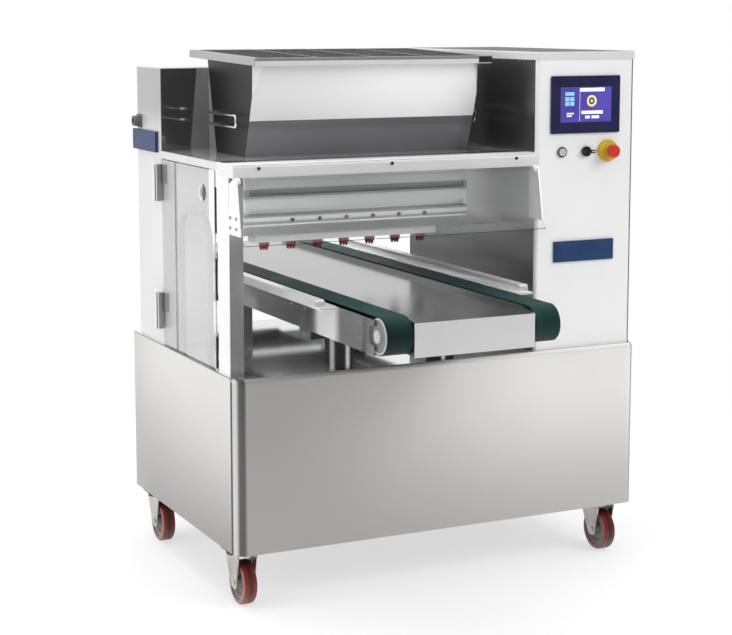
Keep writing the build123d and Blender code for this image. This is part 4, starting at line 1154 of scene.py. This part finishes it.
def add_screw(form: bmesh.types.BMesh, place: Sequence[float], facing: Facing,
              radius: float = 5.0 * MM, height: float = 2.8 * MM) -> None:
    """Adds a button-head screw with a round socket.

    Args:
        form: The form that gets it.
        place: The middle of its seat.
        facing: Which way the head points.
        radius: The head's radius.
        height: The head's height.
    """
    outline = [(radius * across, height * up) for across, up in SCREW_OUTLINE]
    add_turned(form, outline, place, facing)


@dataclass
class Studio:
    """The pale floor, the soft light and the camera."""

    camera_place: Place = (-2.3804, -4.8228, 1.6436)
    camera_turn: Place = (82.618, 0.0, -25.899)
    lens: float = 85.979
    sensor: float = 36.0
    shift: float = -0.1
    floor_radius: float = 60.0
    floor_segments: int = 64
    floor_tone: Colour = (0.9, 0.9, 0.9)
    floor_roughness: float = 0.7
    clear_cut: Span = (1.1, 2.6)
    clear_least: float = 0.6
    dim_towards: Place = (0.42, -0.91, 0.0)
    dim_floor: Span = (2.2, 3.2)
    dim_turn: Span = (0.1, 0.5)
    dim_rise: Span = (0.2, 0.75)
    dim_level: float = 0.035
    dim_upper: float = 0.3
    room_level: float = 0.8
    lamp_aim: Place = (0.0, 0.0, 0.7)
    lamps: list[tuple[str, Place, float, float]] = field(default_factory=lambda: [
        ("overhead_lamp", (-0.4, 0.9, 4.2), 3.6, 140.0),
        ("left_lamp", (-4.6, 0.2, 2.8), 2.4, 50.0),
        ("right_lamp", (2.6, -3.0, 3.2), 1.8, 90.0),
    ])

    def build(self) -> None:
        """Sets up everything round the machine."""
        self._camera()
        self._floor()
        self._room()
        for name, place, size, power in self.lamps:
            self._lamp(name, place, size, power)

    def _camera(self) -> None:
        """Puts the camera where the photograph was taken from."""
        data = bpy.data.cameras.new("camera")
        data.sensor_width = self.sensor
        data.lens = self.lens
        data.shift_y = self.shift
        camera = bpy.data.objects.new("camera", data)
        camera.location = self.camera_place
        camera.rotation_euler = [math.radians(a) for a in self.camera_turn]
        bpy.context.scene.collection.objects.link(camera)
        bpy.context.scene.camera = camera

    def _floor(self) -> None:
        """Lays a pale floor that keeps the shadow and fades to white."""
        form = new_form()
        bmesh.ops.create_circle(form, cap_ends=True, segments=self.floor_segments,
                                radius=self.floor_radius)
        mesh = bpy.data.meshes.new("floor")
        form.to_mesh(mesh)
        form.free()
        floor = bpy.data.objects.new("floor", mesh)
        bpy.context.scene.collection.objects.link(floor)
        mesh.materials.append(self._floor_paint())

    def _floor_paint(self) -> bpy.types.Material:
        """Makes the floor's material.

        Returns:
            The finished material.
        """
        coat = Coat("pale_floor")
        coat.shader.inputs["Base Color"].default_value = (*self.floor_tone, 1.0)
        coat.plain(Roughness=self.floor_roughness)
        wiring = coat.wiring
        place = wiring.place()
        reach = wiring.add("ShaderNodeVectorMath", operation="LENGTH")
        wiring.join(place, reach.inputs[0])
        fade = wiring.ramp(reach.outputs["Value"], self.clear_cut, (self.clear_least, 1.0),
                           Ease.GENTLE)
        ahead = wiring.along(place, Vector(self.dim_towards).normalized())
        gloom = wiring.ramp(ahead, self.dim_floor, (1.0, self.dim_level), Ease.GENTLE)
        path = wiring.add("ShaderNodeLightPath").outputs
        seen = wiring.math("MAXIMUM", path["Is Camera Ray"], path["Is Glossy Ray"])
        seen = wiring.math("MAXIMUM", seen, path["Is Transmission Ray"])
        white = wiring.add("ShaderNodeEmission")
        wiring.join(wiring.mix(path["Is Glossy Ray"], 1.0, gloom), white.inputs["Strength"])
        coat.surface(wiring.blend(wiring.math("MULTIPLY", fade, seen),
                                  coat.shader.outputs["BSDF"], white.outputs["Emission"]))
        return coat.material

    def _room(self) -> None:
        """Makes a white room that is dim behind the camera, as polished steel shows it."""
        world = bpy.data.worlds.new("white_room")
        bpy.context.scene.world = world
        world.use_nodes = True
        wiring = Wiring(world.node_tree)
        background = world.node_tree.nodes["Background"]
        place = wiring.add("ShaderNodeTexCoord").outputs["Generated"]
        towards = wiring.along(place, Vector(self.dim_towards).normalized())
        turned = wiring.ramp(towards, self.dim_turn, ease=Ease.GENTLE)
        height = wiring.along(place, Vector(Facing.UP.value))
        upper = wiring.ramp(height, self.dim_rise, (self.dim_level, self.dim_upper),
                            Ease.GENTLE)
        path = wiring.add("ShaderNodeLightPath").outputs
        clear = wiring.math("MAXIMUM", path["Is Camera Ray"], path["Is Transmission Ray"])
        gloss = wiring.mix(path["Is Glossy Ray"], self.room_level,
                           wiring.mix(turned, 1.0, upper))
        wiring.join(wiring.math("MAXIMUM", clear, gloss), background.inputs["Strength"])
        background.inputs["Color"].default_value = (1.0, 1.0, 1.0, 1.0)
        bpy.context.scene.view_settings.view_transform = "Standard"

    def _lamp(self, name: str, place: Place, size: float, power: float) -> None:
        """Hangs one soft lamp that looks at the machine.

        Args:
            name: The lamp's name.
            place: Where it hangs.
            size: The side of its square.
            power: Its power in watts.
        """
        data = bpy.data.lights.new(name, "AREA")
        data.size = size
        data.energy = power
        lamp = bpy.data.objects.new(name, data)
        lamp.location = place
        lamp.visible_glossy = False
        aim = Vector(self.lamp_aim) - Vector(place)
        lamp.rotation_euler = aim.to_track_quat("-Z", "Y").to_euler()
        bpy.context.scene.collection.objects.link(lamp)


@dataclass
class BaseCabinet:
    """The base: chassis, panels and the polished deck."""

    finishes: Finishes

    def build(self) -> None:
        """Dresses the base."""
        dress(self.finishes.base_front, "base_front_panel")
        dress(self.finishes.base_side, "base_panels")
        dress(self.finishes.frame, "base_chassis")
        dress(self.finishes.deck, "deck_plate")


@dataclass
class ControlColumn:
    """The column with its screen, its buttons and the blue plates."""

    finishes: Finishes
    lift: float = 0.3 * MM
    tile_round: float = 0.1 * MM
    heading: tuple[Span, Span] = ((0.09, 0.265), (0.14, 0.24))
    grid_start: Span = (0.09, 0.28)
    grid_step: Span = (0.095, 0.135)
    grid_tile: Span = (0.08, 0.115)
    bars: tuple[tuple[Span, Span], ...] = (
        ((0.38, 0.86), (0.03, 0.13)), ((0.41, 0.83), (0.68, 0.77)),
        ((0.485, 0.577), (0.82, 0.9)), ((0.61, 0.76), (0.82, 0.9)),
        ((0.372, 0.378), (0.03, 0.97)), ((0.12, 0.26), (0.73, 0.77)),
        ((0.12, 0.22), (0.8, 0.84)))
    dial_middle: Span = (0.61, 0.4)
    dial_ring: Span = (11.0 * MM, 17.0 * MM)
    dial_dot: float = 4.0 * MM
    dial_steps: int = 40
    mark_depth: Span = (-0.2 * MM, 0.5 * MM)
    start_stroke: Span = (0.8 * MM, 4.0 * MM)
    selector_reach: Span = (14.0 * MM, 3.0 * MM)
    selector_half: float = 0.9 * MM

    def build(self) -> None:
        """Dresses the column and lays out the screen."""
        kit = self.finishes
        dress(kit.column_side, "control_column")
        dress(kit.column_front, "column_front_panel")
        dress(kit.cap, "column_cap")
        dress(kit.bezel, "touch_screen")
        dress(kit.screen, "screen_glass")
        dress(kit.plate_blue, "nameplates")
        dress(kit.screw, "start_bezel")
        dress(kit.button_silver, "start_button")
        dress(kit.knob, "selector_knob")
        dress(kit.collar, "estop_collar")
        dress(kit.stop, "estop_button")
        self._screen_layout()
        self._start_mark()
        self._selector_mark()

    def _tile(self, form: bmesh.types.BMesh, across: Span, down: Span) -> None:
        """Adds one tile of the screen's layout.

        Args:
            form: The form that gets it.
            across: Its left and right side, as shares of the screen's width.
            down: Its top and bottom, as shares of the screen's height from the top.
        """
        low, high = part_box("screen_glass")
        width, height = high.x - low.x, high.z - low.z
        add_block(form,
                  (low.x + across[0] * width, low.y - self.lift, high.z - down[1] * height),
                  (low.x + across[1] * width, low.y + self.lift, high.z - down[0] * height),
                  self.tile_round, 1)

    def _screen_layout(self) -> None:
        """Lays plain tiles, bars and a dial on the screen."""
        kit = self.finishes
        tiles = new_form()
        self._tile(tiles, *self.heading)
        for row in range(2):
            for column in range(2):
                left = self.grid_start[0] + self.grid_step[0] * column
                top = self.grid_start[1] + self.grid_step[1] * row
                self._tile(tiles, (left, left + self.grid_tile[0]),
                           (top, top + self.grid_tile[1]))
        make_piece("screen_tiles", tiles, kit.screen_cyan, "machine")
        bars = new_form()
        for across, down in self.bars:
            self._tile(bars, across, down)
        make_piece("screen_bars", bars, kit.screen_white, "machine")
        low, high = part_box("screen_glass")
        across, down = self.dial_middle
        middle = (low.x + across * (high.x - low.x), low.y, high.z - down * (high.z - low.z))
        inner, outer = self.dial_ring
        dial = new_form()
        add_turned(dial, [(inner, 0.0), (inner, self.lift), (outer, self.lift), (outer, 0.0)],
                   middle, Facing.FRONT, self.dial_steps)
        add_turned(dial, [(0.0, self.lift), (self.dial_dot, self.lift), (self.dial_dot, 0.0)],
                   middle, Facing.FRONT)
        make_piece("screen_dial", dial, kit.screen_yellow, "machine")

    def _start_mark(self) -> None:
        """Puts the plain upright stroke of an ON mark on the start button."""
        low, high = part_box("start_button")
        middle = (low + high) / 2.0
        half, rise = self.start_stroke
        front, rear = self.mark_depth
        form = new_form()
        add_block(form, (middle.x - half, low.y + front, middle.z - rise),
                  (middle.x + half, low.y + rear, middle.z + rise), self.tile_round, 1)
        make_piece("start_mark", form, self.finishes.knob, "start")

    def _selector_mark(self) -> None:
        """Puts a white line on the lever of the selector."""
        low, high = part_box("selector_knob")
        middle = (low.z + high.z) / 2.0
        near, tip = self.selector_reach
        front, rear = self.mark_depth
        form = new_form()
        add_block(form, (high.x - near, low.y + front, middle - self.selector_half),
                  (high.x - tip, low.y + rear, middle + self.selector_half),
                  self.tile_round, 1)
        make_piece("selector_mark", form, self.finishes.white_plastic, "selector")


@dataclass
class DriveHousing:
    """The tower, the rear housing, the ledge with its rail, and the side socket."""

    finishes: Finishes

    def build(self) -> None:
        """Dresses the housings."""
        kit = self.finishes
        dress(kit.tower, "drive_tower")
        dress(kit.housing, "rear_housing")
        dress(kit.ledge, "top_plate")
        dress(kit.rail, "front_rail")
        dress(kit.post_front, "front_post")
        dress(kit.arch, "arch_tube")
        dress(kit.screw, "frame_screws")
        dress(kit.socket, "side_socket")


@dataclass
class SideDoor:
    """The clear door on its two block hinges."""

    finishes: Finishes
    seal_spans: tuple[Span, ...] = ((1.045, 1.175), (0.856, 0.974), (0.662, 0.751))
    seal_depth: float = 6.5 * MM
    seal_gap: float = 0.3 * MM
    seal_round: float = 0.8 * MM
    slot_middles: Span = (0.764, 1.153)
    slot_half: float = 45.0 * MM
    slot_along: Span = (0.213, 0.224)
    slot_width: float = 2.5 * MM
    slot_lift: float = 0.5 * MM
    slot_round: float = 0.2 * MM
    leaf_gauge: float = 6.0 * MM

    def build(self) -> None:
        """Dresses the door, seals its edge and lays painted shade on its hinges."""
        kit = self.finishes
        dress(kit.stile, "door_stile")
        dress(kit.milky, "door_sheet")
        dress(kit.pull, "door_pull")
        dress(kit.hinge, "hinge_leaves")
        self._edge_seal()
        self._hinge_slot_shade()

    def _edge_seal(self) -> None:
        """Puts short black strips on the free edge of the sheet."""
        low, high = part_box("door_sheet")
        form = new_form()
        for bottom, top in self.seal_spans:
            add_block(form, (low.x, low.y - self.seal_depth, bottom),
                      (high.x, low.y - self.seal_gap, top), self.seal_round)
        make_piece("door_seal", form, self.finishes.knob, "door")

    def _hinge_slot_shade(self) -> None:
        """Lays a black bracket-shaped strip on each hinge leaf: painted shade of the gap between leaf and
        barrel.
        """
        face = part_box("hinge_leaves")[1].x - self.leaf_gauge
        near, far = self.slot_along
        form = new_form()
        for middle in self.slot_middles:
            ends = (middle - self.slot_half, middle + self.slot_half)
            strips = [((far - self.slot_width, ends[0]), (far, ends[1]))]
            strips += [((near, end - self.slot_width / 2.0), (far, end + self.slot_width / 2.0))
                       for end in ends]
            for (start, bottom), (stop, top) in strips:
                add_block(form, (face - self.slot_lift, start, bottom),
                          (face + self.slot_lift, stop, top), self.slot_round, 1)
        make_piece("hinge_slot_shade", form, self.finishes.knob, "machine")


@dataclass
class HopperUnit:
    """The hopper with its handles, its lid with the safety grid, and the lid's brackets."""

    finishes: Finishes
    stop_width: float = 44.0 * MM
    stop_depth: float = 24.0 * MM
    stop_bottom: float = 1.5125
    stop_height: float = 18.0 * MM
    stop_proud: float = 1.0 * MM
    stop_round: float = 1.5 * MM

    def build(self) -> None:
        """Dresses the hopper."""
        kit = self.finishes
        dress(kit.hopper, "hopper_shell")
        dress(kit.mirror, "hopper_handles")
        dress(kit.lid, "hopper_lid")
        dress(kit.satin, "lid_brackets")
        self._lid_stop()

    def _lid_stop(self) -> None:
        """Puts a black buffer under the lid's right front corner."""
        low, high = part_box("hopper_lid")
        form = new_form()
        add_block(form, (high.x - self.stop_width, low.y - self.stop_proud, self.stop_bottom),
                  (high.x + self.stop_proud, low.y + self.stop_depth,
                   self.stop_bottom + self.stop_height), self.stop_round)
        make_piece("lid_stop", form, self.finishes.knob, "lid")


@dataclass
class DepositHead:
    """The head with its feed rollers, the nozzle bar and the star nozzles."""

    finishes: Finishes

    def build(self) -> None:
        """Dresses the head."""
        kit = self.finishes
        dress(kit.machined, "head_block", "head_end_plates", "nozzle_bar")
        dress(kit.satin, "feed_roller_front", "feed_roller_rear")
        dress(kit.nozzle, "nozzles")


@dataclass
class FrontGuard:
    """The clear front guard between its cheeks."""

    finishes: Finishes

    def build(self) -> None:
        """Dresses the guard."""
        kit = self.finishes
        dress(kit.clear, "guard_sheet")
        dress(kit.white_plastic, "guard_cheeks")
        dress(kit.screw, "guard_screws")


@dataclass
class TrayConveyor:
    """The two belts, their beams, rollers, guides and the pan."""

    finishes: Finishes
    bolt_places: tuple[Span, ...] = ((-0.280, 0.832), (-0.373, 0.832),
                                     (-0.735, 0.846), (-0.735, 0.809))
    bar_across: Span = (305.0 * MM, 332.0 * MM)
    bar_along: Span = (-0.590, 0.150)
    bar_up: Span = (0.872, 0.890)
    bar_nose: float = 9.0 * MM
    shelf_inner: float = 281.0 * MM
    shelf_front: float = -0.617
    shelf_gauge: float = 6.0 * MM
    bracket_places: Span = (-0.44, 0.0)
    rear_bracket: float = 0.44
    bracket_half: float = 20.0 * MM
    bracket_drop: float = 20.0 * MM
    lip_height: float = 12.0 * MM
    lip_gauge: float = 3.0 * MM
    lip_slope: float = 70.0 * MM
    edge_round: float = 1.0 * MM

    def build(self) -> None:
        """Dresses the conveyor, makes its guides and bolts its beams."""
        kit = self.finishes
        dress(kit.beam, "conveyor_beams")
        dress(kit.pan, "conveyor_pan")
        dress(kit.post, "conveyor_posts")
        dress(kit.belt, "belts")
        dress(kit.drum, "front_roller", "rear_roller")
        self._guide_bars()
        self._rear_guides()
        self._pan_lips()
        self._beam_bolts()

    @property
    def middle(self) -> float:
        """The middle of the tray line."""
        low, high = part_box("tray_guides")
        return (low.x + high.x) / 2.0

    def _sides(self, across: Span) -> list[list[float]]:
        """Returns the left and right side of a strip on each side of the line.

        Args:
            across: The strip's inner and outer side, from the middle of the line.

        Returns:
            The two sides of the right strip, then of the left one.
        """
        return [sorted(self.middle + way * reach for reach in across) for way in BOTH_WAYS]

    def _both_sides(self, form: bmesh.types.BMesh, across: Span, along: Span, up: Span) -> None:
        """Adds one block on each side of the line.

        Args:
            form: The form that gets them.
            across: Their inner and outer side, from the middle of the line.
            along: Their front and rear end.
            up: Their underside and top.
        """
        for left, right in self._sides(across):
            add_block(form, (left, along[0], up[0]), (right, along[1], up[1]), self.edge_round)

    def _guides(self, bars: Span, shelves: Span, brackets: Sequence[float]) -> bmesh.types.BMesh:
        """Makes bars with rounded ends on shelves, held by brackets.

        Args:
            bars: Front and rear end of the bars.
            shelves: Front and rear end of the shelves.
            brackets: Where the brackets are along the line.

        Returns:
            The form.
        """
        bottom, top = self.bar_up
        under = bottom - self.shelf_gauge
        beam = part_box("conveyor_beams")[1].x - self.middle
        form = new_form()
        for left, right in self._sides(self.bar_across):
            add_bar(form, (left, bars[0], bottom), (right, bars[1], top), self.bar_nose)
        self._both_sides(form, (self.shelf_inner, self.bar_across[1]), shelves, (under, bottom))
        for along in brackets:
            self._both_sides(form, (beam, self.shelf_inner),
                             (along - self.bracket_half, along + self.bracket_half),
                             (under - self.bracket_drop, bottom))
        return form

    def _guide_bars(self) -> None:
        """Makes the tray guides in front of the head, in place of the folded ones."""
        form = self._guides(self.bar_along, (self.shelf_front, self.bar_along[1]),
                            self.bracket_places)
        piece = make_piece("guide_bars", form, self.finishes.guide, "machine")
        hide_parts("tray_guides")

    def _rear_guides(self) -> None:
        """Carries the tray guides on behind the head."""
        form = self._guides((self.bar_along[1], -self.bar_along[0]),
                            (self.bar_along[1], -self.shelf_front), (self.rear_bracket,))
        make_piece("rear_guides", form, self.finishes.guide, "machine")

    def _pan_lips(self) -> None:
        """Stands a low lip with sloping ends on each side of the pan."""
        low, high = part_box("conveyor_pan")
        share = 1.0 - self.lip_slope / high.y
        form = new_form()
        for left in (low.x, high.x - self.lip_gauge):
            made = add_block(form, (left, low.y, high.z),
                             (left + self.lip_gauge, high.y, high.z + self.lip_height))
            upper = [v for v in made if v.co.z > high.z + self.lip_height / 2.0]
            bmesh.ops.scale(form, verts=upper, vec=(1.0, share, 1.0))
        make_piece("pan_lips", form, self.finishes.pan, "machine")

    def _beam_bolts(self) -> None:
        """Puts the screws on the outer side of both beams, front and rear alike."""
        low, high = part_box("conveyor_beams")
        form = new_form()
        for along, up in self.bolt_places:
            for way in BOTH_WAYS:
                add_screw(form, (low.x, way * along, up), Facing.LEFT)
                add_screw(form, (high.x, way * along, up), Facing.RIGHT)
        make_piece("beam_bolts", form, self.finishes.screw, "machine")


@dataclass
class CastorSet:
    """The four castors under the base."""

    finishes: Finishes
    cheek_inner: float = 26.5 * MM
    cheek_gauge: float = 2.6 * MM
    cheek_reach: Span = (-38.0 * MM, 66.0 * MM)
    cheek_top: float = 147.0 * MM
    cheek_end: float = 17.0 * MM
    cheek_round: float = 11.0 * MM

    def build(self) -> None:
        """Dresses the castors and widens their forks with pressed cheeks."""
        kit = self.finishes
        dress(kit.crown, "castor_plates")
        for corner in Corner:
            self._cheeks(corner)
            dress(kit.crown, f"castor_fork_{corner.value}")
            dress(kit.hub, f"castor_hub_{corner.value}")
            track = corner.value.split("_")[1]
            dress(kit.tyres[track], f"castor_tyre_{corner.value}")

    def _cheeks(self, corner: Corner) -> None:
        """Lays a tapering cheek on each arm of a fork.

        Args:
            corner: Where the castor is.
        """
        low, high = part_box(f"castor_hub_{corner.value}")
        axle = (low + high) / 2.0
        form = new_form()
        for way in BOTH_WAYS:
            inner, outer = sorted(axle.x + way * (self.cheek_inner + depth)
                                  for depth in (0.0, self.cheek_gauge))
            made = add_block(form, (inner, axle.y + self.cheek_reach[0], axle.z - self.cheek_end),
                             (outer, axle.y + self.cheek_reach[1], self.cheek_top))
            for point in made:
                if point.co.z < axle.z:
                    side = 1.0 if point.co.y > axle.y else -1.0
                    bmesh.ops.translate(form, verts=[point],
                                        vec=(0.0, axle.y + side * self.cheek_end - point.co.y, 0.0))
            corners = {e for v in made for e in v.link_edges
                       if abs(e.verts[0].co.x - e.verts[1].co.x) > self.cheek_gauge / 2.0}
            bmesh.ops.bevel(form, geom=list(corners), offset=self.cheek_round,
                            offset_type="OFFSET", segments=ROUND_STEPS, profile=ROUND_PROFILE,
                            affect="EDGES", clamp_overlap=True, material=-1)
        make_piece(f"fork_cheeks_{corner.value}", form, self.finishes.zinc,
                   f"castor_{corner.value}")


def main() -> None:
    """Builds the studio and every sub-assembly in order."""
    logging.basicConfig(level=logging.INFO)
    Studio().build()
    finishes = Finishes()
    for unit in (BaseCabinet, ControlColumn, DriveHousing, SideDoor, HopperUnit,
                 DepositHead, FrontGuard, TrayConveyor, CastorSet):
        unit(finishes).build()
        log.info("%s is done", unit.__name__)


if __name__ == "__main__":
    main()
